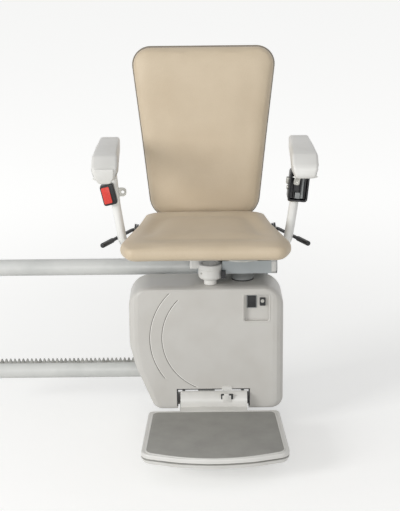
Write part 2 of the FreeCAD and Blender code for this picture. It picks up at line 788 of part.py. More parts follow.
def drive_pinion():
    """The pinion on its shaft, with a tooth straight down in the rack."""
    tip_r = PITCH_R + RACK_MODULE
    root_r = PITCH_R - 1.25 * RACK_MODULE
    base_r = max(root_r, PITCH_R * math.cos(PRESSURE_ANGLE))
    half_width = PINION_WIDTH / 2

    def point(radius, angle):
        return V(PINION_X + radius * math.sin(angle), -half_width, PINION_Z - radius * math.cos(angle))

    edges = []
    step = 2 * math.pi / PINION_TEETH
    for i in range(PINION_TEETH):
        centre = i * step
        root_half = involute_half_angle(root_r)
        rise = [point(r, centre - involute_half_angle(r)) for r in (base_r, (base_r + tip_r) / 2, tip_r)]
        fall = [point(r, centre + involute_half_angle(r)) for r in (tip_r, (base_r + tip_r) / 2, base_r)]
        foot_in = point(root_r, centre - root_half)
        foot_out = point(root_r, centre + root_half)
        valley = point(root_r, centre + step / 2)
        following = point(root_r, centre + step - root_half)
        edges.append(Part.LineSegment(foot_in, rise[0]).toShape())
        edges.append(Part.Arc(*rise).toShape())
        edges.append(Part.Arc(rise[2], point(tip_r, centre), fall[0]).toShape())
        edges.append(Part.Arc(*fall).toShape())
        edges.append(Part.LineSegment(fall[2], foot_out).toShape())
        edges.append(Part.Arc(foot_out, valley, following).toShape())
    gear = Part.Face(Part.Wire(edges)).extrude(V(0, PINION_WIDTH, 0))
    shaft_end = CHASSIS_FRONT - GEARBOX_DEPTH / 2
    shaft = rod(DRIVE_SHAFT_R, V(PINION_X, shaft_end, PINION_Z), V(PINION_X, half_width, PINION_Z))
    return gear.fuse(shaft).removeSplitter()


def drive_gearmotor():
    """The gearbox on the chassis with the motor upright on it."""
    half = GEARBOX_WIDTH / 2
    low = PINION_Z - GEARBOX_HEIGHT / 2
    high = PINION_Z + GEARBOX_HEIGHT / 2
    front = CHASSIS_FRONT - GEARBOX_DEPTH
    outline = rectangle(PINION_X - half, PINION_X + half, low, high, GEARBOX_CORNER_R)
    case = prism(outline, at_y(front), V(0, GEARBOX_DEPTH, 0))
    bore_r = DRIVE_SHAFT_R + RUNNING_GAP
    bore_end = V(PINION_X, front + GEARBOX_DEPTH / 2 - 1, PINION_Z)
    case = case.cut(rod(bore_r, bore_end, V(PINION_X, CHASSIS_FRONT, PINION_Z)))
    motor_y = CHASSIS_FRONT - MOTOR_R - MOTOR_GAP
    motor = rod(MOTOR_R, V(PINION_X, motor_y, high), V(PINION_X, motor_y, high + MOTOR_LENGTH))
    motor = motor.makeFillet(MOTOR_EDGE_R, [max(motor.Edges, key=lambda e: e.BoundBox.ZMin)])
    return case.fuse(motor).removeSplitter()


def batteries():
    """Two sealed batteries, one above the other, on the chassis ledge."""
    cells = []
    for i in range(2):
        low = TRAY_Z + i * BATTERY_HEIGHT
        y0 = CHASSIS_FRONT - BATTERY_DEPTH
        cell = box(BATTERY_LEFT, BATTERY_LEFT + BATTERY_LENGTH, y0, CHASSIS_FRONT, low, low + BATTERY_HEIGHT)
        upright = [e for e in cell.Edges if e.BoundBox.ZLength > 1]
        cells.append(cell.makeFillet(BATTERY_EDGE_R, upright))
    return Part.makeCompound(cells)


def control_board():
    """The drive's circuit board on four standoffs."""
    back = CHASSIS_FRONT - BOARD_STANDOFF
    right = BOARD_LEFT + BOARD_WIDTH
    top = BOARD_BOTTOM + BOARD_HEIGHT
    board = box(BOARD_LEFT, right, back - BOARD_THICK, back, BOARD_BOTTOM, top)
    for x in (BOARD_LEFT + STANDOFF_IN, right - STANDOFF_IN):
        for z in (BOARD_BOTTOM + STANDOFF_IN, top - STANDOFF_IN):
            board = board.fuse(rod(STANDOFF_R, V(x, back - STANDOFF_SUNK, z), V(x, CHASSIS_FRONT, z)))
    return board.removeSplitter()


def casing_outline(share):
    """The casing seen from the front: its full outline at share 0, its flat face at share 1."""
    outer = list(CASING_TAPER)
    outer += [(CASING_LEFT, CASING_TOP, CASING_SHOULDER_R), (CASING_RIGHT, CASING_TOP, CASING_SHOULDER_R),
              (CASING_RIGHT, CASING_BOTTOM, CASING_FOOT_R)]
    face = list(FACE_TAPER)
    face += [(FACE_LEFT, FACE_TOP, FACE_SHOULDER_R), (FACE_RIGHT, FACE_TOP, FACE_SHOULDER_R),
             (FACE_RIGHT, FACE_BOTTOM, FACE_FOOT_R)]
    return [tuple(p + (q - p) * share for p, q in zip(a, b)) for a, b in zip(outer, face)]


def drawn_in(corners, inset, least_radius=0.5):
    """An outline moved inwards by the inset, with its corner radii reduced to match."""
    if inset == 0:
        return corners
    count = len(corners)
    area = sum(corners[i - 1][0] * corners[i][1] - corners[i][0] * corners[i - 1][1] for i in range(count))
    side = 1 if area > 0 else -1
    result = []
    for i in range(count):
        u, v, radius = corners[i]
        before = V(u - corners[i - 1][0], v - corners[i - 1][1], 0).normalize()
        after = V(corners[(i + 1) % count][0] - u, corners[(i + 1) % count][1] - v, 0).normalize()
        normal_a = V(-before.y, before.x, 0) * side
        normal_b = V(-after.y, after.x, 0) * side
        shift = (normal_a + normal_b) * (inset / (1 + normal_a.dot(normal_b)))
        turns_in = before.cross(after).z * side > 0
        new_radius = radius - inset if turns_in else radius + inset
        result.append((u + shift.x, v + shift.y, max(new_radius, least_radius)))
    return result


def casing_solid(inset, back):
    """A filled casing whose rim rolls over from its sides to its front face."""
    roll_back = CASING_FRONT + CASING_ROLL
    rings = []
    for step in range(CASING_ROLL_STEPS):
        turn = math.pi / 2 * step / (CASING_ROLL_STEPS - 1)
        outline = drawn_in(casing_outline(1 - math.cos(turn)), inset)
        rings.append(rounded_wire(outline, at_y(roll_back - CASING_ROLL * math.sin(turn) + inset)))
    rear = rounded_wire(drawn_in(casing_outline(0), inset), at_y(back))
    return Part.makeLoft([rear] + rings, True, True)


def front_casing():
    """The moulded cover of the carriage, with its groove arcs, recess, post hole and footrest notch."""
    wall = CASING_WALL
    shell = casing_solid(0, CHASSIS_FRONT)
    shell = shell.cut(casing_solid(wall, CHASSIS_FRONT + 1))
    for x, z in BOSS_PLACES:
        boss = rod(BOSS_R, V(x, CASING_FRONT + wall - 0.5, z), V(x, CHASSIS_FRONT, z))
        shell = shell.fuse(boss)
        hole_front = CHASSIS_FRONT - SCREW_LENGTH + CHASSIS_THICK
        shell = shell.cut(rod(SCREW_R, V(x, hole_front, z), V(x, CHASSIS_FRONT, z)))
    notch_back = CASING_FRONT + NOTCH_DEPTH
    shell = shell.cut(box(NOTCH_LEFT, NOTCH_RIGHT, CASING_FRONT - 1, notch_back, 0, NOTCH_TOP))
    recess = rectangle(RECESS_LEFT, RECESS_RIGHT, RECESS_BOTTOM, RECESS_TOP, RECESS_CORNER_R)
    shell = shell.cut(prism(recess, at_y(CASING_FRONT - 1), V(0, wall + 2, 0)))
    shell = shell.cut(rod(POST_R + wall, V(POST_X, POST_Y, CASING_TOP - wall), V(POST_X, POST_Y, CASING_TOP)))
    shell = shell.cut(arc_groove(OUTER_ARC_X, OUTER_ARC_Z, OUTER_ARC_R, OUTER_ARC_BOTTOM, OUTER_ARC_TOP))
    shell = shell.cut(arc_groove(INNER_ARC_X, INNER_ARC_Z, INNER_ARC_R, INNER_ARC_BOTTOM, INNER_ARC_TOP))
    return shell.removeSplitter()


def arc_groove(x, z, radius, bottom, top):
    """A shallow arc on the left of the casing's front, between two heights."""
    front = CASING_FRONT
    outer = Part.makeCylinder(radius + GROOVE_WIDTH / 2, GROOVE_DEPTH, V(x, front, z), V(0, 1, 0))
    inner = Part.makeCylinder(radius - GROOVE_WIDTH / 2, GROOVE_DEPTH, V(x, front, z), V(0, 1, 0))
    window = box(CASING_LEFT, x, front - 1, front + GROOVE_DEPTH + 1, bottom, top)
    return outer.cut(inner).common(window)


def control_recess():
    """The tray set into the casing's front for the switches."""
    front = CASING_FRONT
    outer = rectangle(RECESS_LEFT, RECESS_RIGHT, RECESS_BOTTOM, RECESS_TOP, RECESS_CORNER_R)
    tray = prism(outer, at_y(front), V(0, RECESS_DEPTH + TRAY_WALL, 0))
    tray = tray.cut(prism(drawn_in(outer, TRAY_WALL), at_y(front), V(0, RECESS_DEPTH, 0)))
    half_w = ROCKER_WIDTH / 2 + ROCKER_GAP
    half_h = ROCKER_HEIGHT / 2 + ROCKER_GAP
    back = front + RECESS_DEPTH + TRAY_WALL
    window = box(ROCKER_X - half_w, ROCKER_X + half_w, front, back, ROCKER_Z - half_h, ROCKER_Z + half_h)
    tray = tray.cut(window)
    for x in (ROCKER_X - half_w - PIVOT_EAR, ROCKER_X + half_w):
        ear = box(x, x + PIVOT_EAR, back - TRAY_WALL, back + PIVOT_BACK + 2, ROCKER_Z - PIVOT_EAR_HALF,
                  ROCKER_Z + PIVOT_EAR_HALF)
        tray = tray.fuse(ear)
    return tray.cut(rocker_pivot(PIVOT_R + PIVOT_GAP)).removeSplitter()


def rocker_pivot(radius):
    """The rocker's pivot, through both ears behind the tray."""
    reach = ROCKER_WIDTH / 2 + ROCKER_GAP + PIVOT_EAR
    y = CASING_FRONT + RECESS_DEPTH + PIVOT_BACK
    return rod(radius, V(ROCKER_X - reach, y, ROCKER_Z), V(ROCKER_X + reach, y, ROCKER_Z))


def isolator_rocker():
    """The black rocker switch, on a pivot bar behind the tray."""
    front = CASING_FRONT + RECESS_DEPTH - ROCKER_DEPTH
    half_w = ROCKER_WIDTH / 2
    half_h = ROCKER_HEIGHT / 2
    cap = prism(rectangle(ROCKER_X - half_w, ROCKER_X + half_w, ROCKER_Z - half_h, ROCKER_Z + half_h, 3.0),
                at_y(front), V(0, ROCKER_DEPTH, 0))
    back = front + ROCKER_DEPTH
    stem_half = half_w - STEM_IN
    stem = box(ROCKER_X - stem_half, ROCKER_X + stem_half, back, back + ROCKER_STEM,
               ROCKER_Z - STEM_IN, ROCKER_Z + STEM_IN)
    return cap.fuse(stem).fuse(rocker_pivot(PIVOT_R)).removeSplitter()


def key_switch_body():
    """The square black body round the key rotor."""
    back = CASING_FRONT + RECESS_DEPTH
    front = back - KEY_BODY_DEPTH
    body = prism(rectangle(KEY_BODY_LEFT, KEY_BODY_RIGHT, KEY_BODY_BOTTOM, KEY_BODY_TOP, 2.0),
                 at_y(front), V(0, KEY_BODY_DEPTH, 0))
    return body.cut(rod(KEY_R + RUNNING_GAP, V(KEY_X, front, KEY_Z), V(KEY_X, back, KEY_Z)))


def key_switch_rotor():
    """The pale rotor with its key slot."""
    back = CASING_FRONT + RECESS_DEPTH - 0.1
    front = back - KEY_DEPTH
    rotor = rod(KEY_R, V(KEY_X, front, KEY_Z), V(KEY_X, back, KEY_Z))
    slot = box(KEY_X - 0.8, KEY_X + 0.8, front, front + 3, KEY_Z - KEY_R * 0.6, KEY_Z + KEY_R * 0.6)
    return rotor.cut(slot)


def casing_screws():
    """Screws from behind the chassis into the casing's bosses."""
    screws = []
    for x, z in BOSS_PLACES:
        head = rod(SCREW_HEAD_R, V(x, CHASSIS_REAR, z), V(x, CHASSIS_REAR + SCREW_HEAD, z))
        shank = rod(SCREW_R, V(x, CHASSIS_REAR - SCREW_LENGTH, z), V(x, CHASSIS_REAR, z))
        screws.append(head.fuse(shank).removeSplitter())
    return Part.makeCompound(screws)


def seat_post():
    """The tube that carries the seat, clamped to the chassis by two plates."""
    foot = V(POST_X, POST_Y, POST_BOTTOM)
    head = V(POST_X, POST_Y, CARRIER_TOP)
    shape = rod(POST_R, foot, head)
    reach = POST_R + CLAMP_SIDE
    for z in (POST_BOTTOM + CLAMP_GAP, CASING_TOP - CASING_WALL - CLAMP_GAP - CLAMP_THICK):
        shape = shape.fuse(box(POST_X - reach, POST_X + reach, POST_Y, CHASSIS_FRONT, z, z + CLAMP_THICK))
    return shape.cut(rod(POST_R - POST_WALL, foot, head)).removeSplitter()


def post_boots():
    """The rubber ring where the post leaves the casing, and the flared boot under the carrier."""
    top = CASING_TOP
    ring = rod(GROMMET_R, V(POST_X, POST_Y, top), V(POST_X, POST_Y, top + GROMMET_RISE))
    ring = ring.makeFillet(2.0, [max(ring.Edges, key=lambda e: e.BoundBox.ZMin)])
    ring = ring.fuse(rod(POST_R + CASING_WALL, V(POST_X, POST_Y, top - CASING_WALL), V(POST_X, POST_Y, top)))
    ring = ring.cut(rod(POST_R, V(POST_X, POST_Y, top - CASING_WALL), V(POST_X, POST_Y, top + GROMMET_RISE)))
    high = CARRIER_BOTTOM
    section = ((POST_R, COLLAR_BOTTOM), (COLLAR_WAIST_R, COLLAR_BOTTOM), (COLLAR_R, high - COLLAR_LIP),
               (COLLAR_R, high), (POST_R, high))
    points = [V(POST_X + r, POST_Y, z) for r, z in section]
    bend = V(POST_X + COLLAR_WAIST_R + 5, POST_Y, (COLLAR_BOTTOM + high) / 2 + 2)
    edges = [Part.LineSegment(points[0], points[1]).toShape(), Part.Arc(points[1], bend, points[2]).toShape()]
    edges += [Part.LineSegment(points[i], points[(i + 1) % 5]).toShape() for i in (2, 3, 4)]
    boot = Part.Face(Part.Wire(edges)).revolve(V(POST_X, POST_Y, 0), V(0, 0, 1), 360)
    return Part.makeCompound([ring, boot])


def seat_carrier():
    """The folded steel carrier on the post, bolted to the chassis tongue."""
    wall = CARRIER_WALL
    shape = box(CARRIER_LEFT, CARRIER_RIGHT, CARRIER_FRONT, CHASSIS_FRONT, CARRIER_BOTTOM, CARRIER_TOP)
    inside = box(CARRIER_LEFT + wall, CARRIER_RIGHT - wall, CARRIER_FRONT + wall, CHASSIS_FRONT - wall,
                 CARRIER_BOTTOM + wall, CARRIER_TOP - wall)
    shape = shape.cut(inside)
    return shape.cut(rod(POST_R, V(POST_X, POST_Y, CARRIER_BOTTOM), V(POST_X, POST_Y, CARRIER_TOP)))


def carrier_covers():
    """The plastic covers left and right of the carrier."""
    up = V(0, 0, COVER_TOP - COVER_BOTTOM)
    left = prism(rectangle(LEFT_COVER_END, CARRIER_LEFT, LEFT_COVER_FRONT, CHASSIS_FRONT, COVER_REAR_R),
                 at_z(COVER_BOTTOM), up)
    front = CARRIER_FRONT + COVER_SET_BACK
    right = prism([(CARRIER_RIGHT, front, 0), (RIGHT_COVER_END, front, COVER_FRONT_R),
                   (RIGHT_COVER_END, CHASSIS_FRONT, COVER_REAR_R), (CARRIER_RIGHT, CHASSIS_FRONT, 0)],
                  at_z(COVER_BOTTOM), up)
    foot = [e for e in right.Edges if e.BoundBox.ZMax < COVER_BOTTOM + 0.01]
    right = right.makeFillet(COVER_FOOT_R, [e for e in foot if e.BoundBox.XMax > CARRIER_RIGHT + 1])
    return Part.makeCompound([left, right])


def interlock_housing():
    """The drum beside the carrier on its boss, with its plug."""
    drum = rod(DRUM_R, V(DRUM_X, DRUM_Y, DRUM_BOTTOM), V(DRUM_X, DRUM_Y, DRUM_TOP))
    drum = drum.makeFillet(5.0, [e for e in drum.Edges if e.BoundBox.ZLength < 0.01])
    boss = rod(DRUM_BOSS_R, V(DRUM_X, DRUM_Y, CASING_TOP), V(DRUM_X, DRUM_Y, DRUM_BOTTOM + 6))
    return drum.fuse(boss).removeSplitter()


def interlock_connector():
    """The plug in the side of the drum."""
    start = DRUM_X + DRUM_R * 0.9
    low = DRUM_BOTTOM + 8
    plug = box(start, start + CONNECTOR_LENGTH, CARRIER_FRONT - CONNECTOR_WIDTH - 0.3, CARRIER_FRONT - 0.3,
               low, low + CONNECTOR_HEIGHT)
    return plug.cut(rod(DRUM_R, V(DRUM_X, DRUM_Y, DRUM_BOTTOM), V(DRUM_X, DRUM_Y, DRUM_TOP)))


def swivel_index_plate():
    """The fixed plate on the carrier, with a pocket for each stop of the swivel along the pin's slot."""
    plate = rod(INDEX_R, V(POST_X, POST_Y, CARRIER_TOP), V(POST_X, POST_Y, INDEX_TOP))
    plate = plate.cut(rod(POST_R - POST_WALL, V(POST_X, POST_Y, CARRIER_TOP), V(POST_X, POST_Y, INDEX_TOP)))
    for stop in INDEX_STOPS:
        x, y = on_index_ring(LATCH_ANGLE + stop)
        plate = plate.cut(rod(INDEX_POCKET_R, V(x, y, CARRIER_TOP), V(x, y, INDEX_TOP)))
    span = 2 * SWIVEL_LIMIT
    ring = Part.makeCylinder(INDEX_RING + INDEX_SLOT_HALF, INDEX_THICK, V(0, 0, 0), V(0, 0, 1), span)
    core = Part.makeCylinder(INDEX_RING - INDEX_SLOT_HALF, INDEX_THICK, V(0, 0, 0), V(0, 0, 1), span)
    slot = ring.cut(core)
    slot.rotate(V(0, 0, 0), V(0, 0, 1), LATCH_ANGLE - SWIVEL_LIMIT)
    slot.translate(V(POST_X, POST_Y, CARRIER_TOP))
    return plate.cut(slot)


def on_index_ring(degrees):
    """The place on the latch pin's ring at this angle about the post."""
    turn = math.radians(degrees)
    return POST_X + INDEX_RING * math.cos(turn), POST_Y + INDEX_RING * math.sin(turn)


def swivel_plate():
    """The turning plate with its spigot in the post and the neck under the seat frame."""
    plate = rod(SWIVEL_R, V(POST_X, POST_Y, SWIVEL_BOTTOM), V(POST_X, POST_Y, SWIVEL_TOP))
    spigot_r = POST_R - POST_WALL - RUNNING_GAP
    spigot = rod(spigot_r, V(POST_X, POST_Y, SWIVEL_BOTTOM - SPIGOT_LENGTH), V(POST_X, POST_Y, SWIVEL_BOTTOM))
    neck = box(NECK_LEFT, NECK_RIGHT, NECK_FRONT, NECK_BACK, SWIVEL_TOP, FRAME_BOTTOM)
    x, y = on_index_ring(LATCH_ANGLE)
    hole = rod(LATCH_PIN_R + RUNNING_GAP, V(x, y, SWIVEL_BOTTOM), V(x, y, SWIVEL_TOP))
    return plate.fuse(spigot).fuse(neck).cut(hole).removeSplitter()


def latch_pin():
    """The pin that drops into the index plate."""
    x, y = on_index_ring(LATCH_ANGLE)
    pin = rod(LATCH_PIN_R, V(x, y, CARRIER_TOP + LATCH_TIP_GAP), V(x, y, LATCH_TOP))
    head = rod(LATCH_HEAD_R, V(x, y, LATCH_TOP - LATCH_HEAD), V(x, y, LATCH_TOP))
    return pin.fuse(head).removeSplitter()


def seat_frame():
    """The flat steel frame plate under the seat."""
    return prism(rectangle(-FRAME_HALF, FRAME_HALF, FRAME_FRONT, FRAME_BACK, FRAME_CORNER_R),
                 at_z(FRAME_BOTTOM), V(0, 0, FRAME_THICK))


def seat_buffers():
    """Rubber stops under the front of the seat board."""
    return Part.makeCompound([rod(BUFFER_R, V(x, BUFFER_Y, FRAME_TOP), V(x, BUFFER_Y, BOARD_SEAT_BOTTOM))
                              for x in (-BUFFER_X, BUFFER_X)])


def frame_brackets():
    """The seat's hinge ears and the bearings of the release shaft."""
    base_top = FRAME_TOP + HINGE_BASE_THICK
    back = SEAT_HINGE_Y + HINGE_EAR_LENGTH / 2
    front = SEAT_HINGE_Y - HINGE_EAR_LENGTH / 2
    outer = HINGE_EAR_X + HINGE_EAR_THICK
    base = box(FRAME_HALF - HINGE_BASE_IN, outer, front, back, FRAME_TOP, base_top)
    high = SEAT_HINGE_Z + HINGE_EAR_R
    corners = [(front, FRAME_TOP, 0), (back, FRAME_TOP, 0),
               (back, high, HINGE_EAR_R), (front, high, HINGE_EAR_R)]
    ear = prism(corners, at_x(HINGE_EAR_X), V(HINGE_EAR_THICK, 0, 0))
    hinge = base.fuse(ear).cut(seat_pin_at(HINGE_EAR_X - 1, outer + 1)).removeSplitter()
    half = BEARING_DEPTH / 2
    bearing_end = BEARING_X + BEARING_WIDTH
    bearing_top = SHAFT_Z + SHAFT_R + BEARING_WALL
    bearing = box(BEARING_X, bearing_end, SHAFT_Y - half, SHAFT_Y + half, FRAME_TOP, bearing_top)
    bore = rod(SHAFT_R + RUNNING_GAP, V(BEARING_X, SHAFT_Y, SHAFT_Z), V(bearing_end, SHAFT_Y, SHAFT_Z))
    bearing = bearing.cut(bore)
    return Part.makeCompound([hinge, bearing, mirrored(hinge), mirrored(bearing)])


def seat_pin_at(x0, x1):
    """The seat's hinge pin between these two places."""
    return rod(SEAT_PIN_R, V(x0, SEAT_HINGE_Y, SEAT_HINGE_Z), V(x1, SEAT_HINGE_Y, SEAT_HINGE_Z))


def arm_pin(x):
    """The pin across an arm upright's eye."""
    reach = ARM_TUBE_R + PAD_SLOT_GAP + ARM_PIN_HOLD
    return rod(ARM_PIN_R, V(x - reach, ARM_Y, ARM_HINGE_Z), V(x + reach, ARM_Y, ARM_HINGE_Z))


def hinge_pins():
    """The pins of the seat's hinge and of both armrests."""
    pin = seat_pin_at(LEAF_X, HINGE_EAR_X + HINGE_EAR_THICK + 2)
    arm = arm_pin(ARM_TOP_X)
    return Part.makeCompound([pin, mirrored(pin), arm, mirrored(arm)])


def seat_hinge_leaves():
    """The steel angles under the board that turn on the seat's pins."""
    low = BOARD_SEAT_BOTTOM - LEAF_BASE_THICK
    base = box(LEAF_INNER_X, LEAF_X + LEAF_THICK, LEAF_FRONT, LEAF_BACK, low, BOARD_SEAT_BOTTOM)
    front = SEAT_HINGE_Y - LEAF_EAR_FRONT
    high = SEAT_HINGE_Z + LEAF_EAR_R
    corner = LEAF_EAR_R - 1
    ear = prism([(front, low, 0), (LEAF_BACK, low, 0), (LEAF_BACK, high, corner), (front, high, corner)],
                at_x(LEAF_X), V(LEAF_THICK, 0, 0))
    bore = rod(SEAT_PIN_R + RUNNING_GAP, V(LEAF_X, SEAT_HINGE_Y, SEAT_HINGE_Z),
               V(LEAF_X + LEAF_THICK, SEAT_HINGE_Y, SEAT_HINGE_Z))
    leaf = base.fuse(ear).cut(bore).removeSplitter()
    return Part.makeCompound([leaf, mirrored(leaf)])


def seat_corners():
    """The seat cushion's outline from above, its sides drawn in between the corners."""
    nose_half = SEAT_HALF_FRONT - SEAT_NOSE_TAPER
    right = [(SEAT_HALF_REAR, SEAT_BACK, SEAT_REAR_R), (SEAT_HALF_WAIST, SEAT_WAIST_Y, SEAT_WAIST_R),
             (SEAT_HALF_FRONT, SEAT_WIDE_Y, SEAT_SIDE_R), (nose_half, SEAT_FRONT, SEAT_FRONT_R)]
    left = [(-x, y, r) for x, y, r in reversed(right)]
    return right + left


def seat_board():
    """The board that carries the seat cushion."""
    outline = drawn_in(seat_corners(), SEAT_BOARD_INSET)
    board = prism(outline, at_z(BOARD_SEAT_BOTTOM), V(0, 0, BOARD_SEAT_THICK))
    kept = box(-SEAT_BOARD_HALF, SEAT_BOARD_HALF, SEAT_BOARD_FRONT, SEAT_BACK, BOARD_SEAT_BOTTOM, SEAT_BOTTOM)
    return board.common(kept)


def seat_cushion():
    """The crowned seat cushion."""
    levels = [(SEAT_BOTTOM + SEAT_EDGE * share, inset) for share, inset in SEAT_SIDE_SHAPE]
    levels += [(SEAT_BOTTOM + SEAT_EDGE + SEAT_CROWN * share, inset) for share, inset in SEAT_CROWN_SHAPE]
    return stacked_cushion(seat_corners(), at_z, levels)


def leaned(shape):
    """A backrest piece, modelled upright, tipped back to its lean."""
    result = shape.copy()
    result.rotate(V(0, BACK_FRONT, BACK_BOTTOM), V(1, 0, 0), -BACK_LEAN)
    return result


def back_corners():
    """The backrest cushion's outline from the front, standing upright."""
    waist_z = BACK_BOTTOM + BACK_LENGTH * 0.5
    waist_half = (BACK_HALF_LOW + BACK_HALF_HIGH) / 2 - BACK_DRAWN_IN
    right = [(BACK_HALF_LOW, BACK_BOTTOM, BACK_FOOT_R), (waist_half, waist_z, BACK_WAIST_R),
             (BACK_HALF_HIGH, BACK_BOTTOM + BACK_LENGTH, BACK_CORNER_R)]
    return right + [(-x, z, r) for x, z, r in reversed(right)]


def backrest_cushion():
    """The crowned backrest cushion."""
    rear = BACK_FRONT + BACK_THICK
    edge = BACK_FRONT + BACK_CROWN
    depth = rear - edge
    levels = [(rear - depth * share, inset) for share, inset in BACK_SIDE_SHAPE]
    levels += [(edge - BACK_CROWN * share, inset) for share, inset in BACK_CROWN_SHAPE]
    return leaned(stacked_cushion(back_corners(), at_y, levels))


def backrest_shell():
    """The moulded shell behind the backrest cushion."""
    rear = BACK_FRONT + BACK_THICK
    shell = prism(drawn_in(back_corners(), -SHELL_LIP), at_y(rear), V(0, SHELL_THICK, 0))
    rim = [e for e in shell.Edges if e.BoundBox.YMin > rear + SHELL_THICK - 0.01]
    return leaned(shell.makeFillet(SHELL_EDGE_R, rim))


def back_spine():
    """The folded steel spine from the frame plate up the back of the shell."""
    rear = BACK_FRONT + BACK_THICK + SHELL_THICK
    turn = math.radians(BACK_LEAN)

    def on_shell(height, off):
        y = rear + off - BACK_FRONT
        return (BACK_FRONT + y * math.cos(turn) + height * math.sin(turn),
                BACK_BOTTOM - y * math.sin(turn) + height * math.cos(turn))

    low_front = on_shell(SPINE_START, 0)
    high_front = on_shell(SPINE_TOP, 0)
    high_back = on_shell(SPINE_TOP, SPINE_THICK)
    low_back = on_shell(SPINE_START, SPINE_THICK)
    foot = SHAFT_Y + SHAFT_R + SPINE_SHAFT_GAP
    bend = SPINE_BEND_R
    knee = FRAME_TOP + SPINE_FOOT_HEIGHT
    rear_foot = foot + SPINE_THICK
    corners = [(foot, FRAME_TOP, 0), (foot, knee, bend), (*low_front, bend), (*high_front, 0),
               (*high_back, 0), (*low_back, 2 * bend), (rear_foot, knee - 2, 2 * bend),
               (rear_foot, FRAME_TOP, 0)]
    return prism(corners, at_x(-SPINE_HALF), V(2 * SPINE_HALF, 0, 0))


def arm_upright():
    """The right-hand arm tube, from under the frame plate up to its hinge eye."""
    places = ((ARM_INNER_X, ARM_RUN_Z), (ARM_ELBOW_X, ARM_RUN_Z),
              (ARM_MID_X, ARM_MID_Z), (ARM_TOP_X, ARM_HINGE_Z))
    points = [V(x, ARM_Y, z) for x, z in places]
    tube = bent_rod(points, [ARM_ELBOW_R, ARM_KNEE_R], ARM_TUBE_R)
    half = ARM_EYE_WIDTH / 2
    eye = rod(ARM_EYE_R, V(ARM_TOP_X - half, ARM_Y, ARM_HINGE_Z), V(ARM_TOP_X + half, ARM_Y, ARM_HINGE_Z))
    shape = tube.fuse(eye)
    return shape.cut(arm_pin(ARM_TOP_X)).removeSplitter()


def pad_blank():
    """The right-hand arm pad before its slot is cut: a side view crossed with a view from above."""
    corners = [(PAD_BACK, PAD_LOW, PAD_SIDE_EDGE_R), (PAD_BACK, PAD_TOP, PAD_SIDE_EDGE_R),
               (PAD_BREAK, PAD_TOP, PAD_BREAK_R), (PAD_NOSE, PAD_NOSE_TOP, PAD_NOSE_R),
               (PAD_NOSE + PAD_NOSE_RAKE, PAD_NOSE_LOW, PAD_SIDE_EDGE_R),
               (PAD_BREAK, PAD_BREAK_LOW, 2 * PAD_BREAK_R)]
    side = prism(corners, at_x(PAD_X - PAD_HALF_WIDE - 1), V(2 * PAD_HALF_WIDE + 2, 0, 0))
    right = [(PAD_HALF_REAR, PAD_BACK, PAD_REAR_R), (PAD_HALF_WIDE, PAD_BREAK, PAD_SIDE_R),
             (PAD_HALF_NOSE, PAD_NOSE, PAD_NOSE_CORNER_R)]
    plan = [(PAD_X + u, y, r) for u, y, r in right] + [(PAD_X - u, y, r) for u, y, r in reversed(right)]
    pad = side.common(prism(plan, at_z(PAD_NOSE_LOW - 1), V(0, 0, PAD_TOP - PAD_NOSE_LOW + 2)))
    upper = [e for e in pad.Edges if e.BoundBox.ZMax > PAD_NOSE_TOP - 6 and e.BoundBox.YLength > 8
             and e.BoundBox.XLength < PAD_HALF_REAR]
    return pad.makeFillet(PAD_EDGE_R, upper)


def pad_slot():
    """The space the arm upright needs in a pad that swings up to vertical."""
    half = ARM_TUBE_R + PAD_SLOT_GAP
    front = ARM_Y - PAD_SLOT_FRONT
    top = ARM_HINGE_Z + ARM_EYE_R + PAD_SLOT_ROOF
    return box(ARM_TOP_X - half, ARM_TOP_X + half, front, PAD_BACK + 1, PAD_NOSE_LOW - 1, top)


def arm_pad_right():
    """The right-hand arm pad, with two prongs at its nose."""
    pad = pad_blank().cut(pad_slot()).cut(arm_pin_bore())
    mouth = box(PAD_X - MOUTH_HALF, PAD_X + MOUTH_HALF, PAD_NOSE - 1, PAD_NOSE + MOUTH_DEPTH,
                PAD_NOSE_LOW - 1, PAD_NOSE_TOP - MOUTH_ROOF)
    return pad.cut(mouth)


def arm_pin_bore():
    """The running bore for the pin in a pad's cheeks."""
    reach = ARM_TUBE_R + PAD_SLOT_GAP + ARM_PIN_HOLD + 0.5
    return rod(ARM_PIN_R + RUNNING_GAP, V(ARM_TOP_X - reach, ARM_Y, ARM_HINGE_Z),
               V(ARM_TOP_X + reach, ARM_Y, ARM_HINGE_Z))


def arm_pad_left():
    """The left-hand arm pad, with the toggle's pocket in its nose."""
    pad = mirrored(pad_blank().cut(pad_slot()).cut(arm_pin_bore()))
    pocket = box(-PAD_X - MOUTH_HALF, -PAD_X + MOUTH_HALF, PAD_NOSE - 1, PAD_NOSE + POCKET_DEPTH,
                 PAD_NOSE_LOW - 1, PAD_NOSE_TOP - POCKET_ROOF)
    return pad.cut(pocket)


def direction_toggle():
    """The paddle in the nose of the left-hand pad, on a short fore-and-aft pin."""
    half = MOUTH_HALF - TOGGLE_GAP
    low = PAD_NOSE_LOW - TOGGLE_DROP
    high = PAD_NOSE_TOP - POCKET_ROOF - TOGGLE_ROOF
    front = PAD_NOSE - TOGGLE_PROUD
    back = front + TOGGLE_DEPTH
    paddle = prism(rectangle(-PAD_X - half, -PAD_X + half, low, high, TOGGLE_CORNER_R), at_y(front),
                   V(0, TOGGLE_DEPTH, 0))
    paddle = paddle.makeFillet(TOGGLE_EDGE_R, [e for e in paddle.Edges if e.BoundBox.YMax < front + 0.1])
    pin_z = PAD_NOSE_LOW + TOGGLE_PIN_RISE
    pin_end = PAD_NOSE + POCKET_DEPTH - TOGGLE_PIN_GAP
    pin = rod(TOGGLE_PIN_R, V(-PAD_X, back, pin_z), V(-PAD_X, pin_end, pin_z))
    return paddle.fuse(pin).removeSplitter()


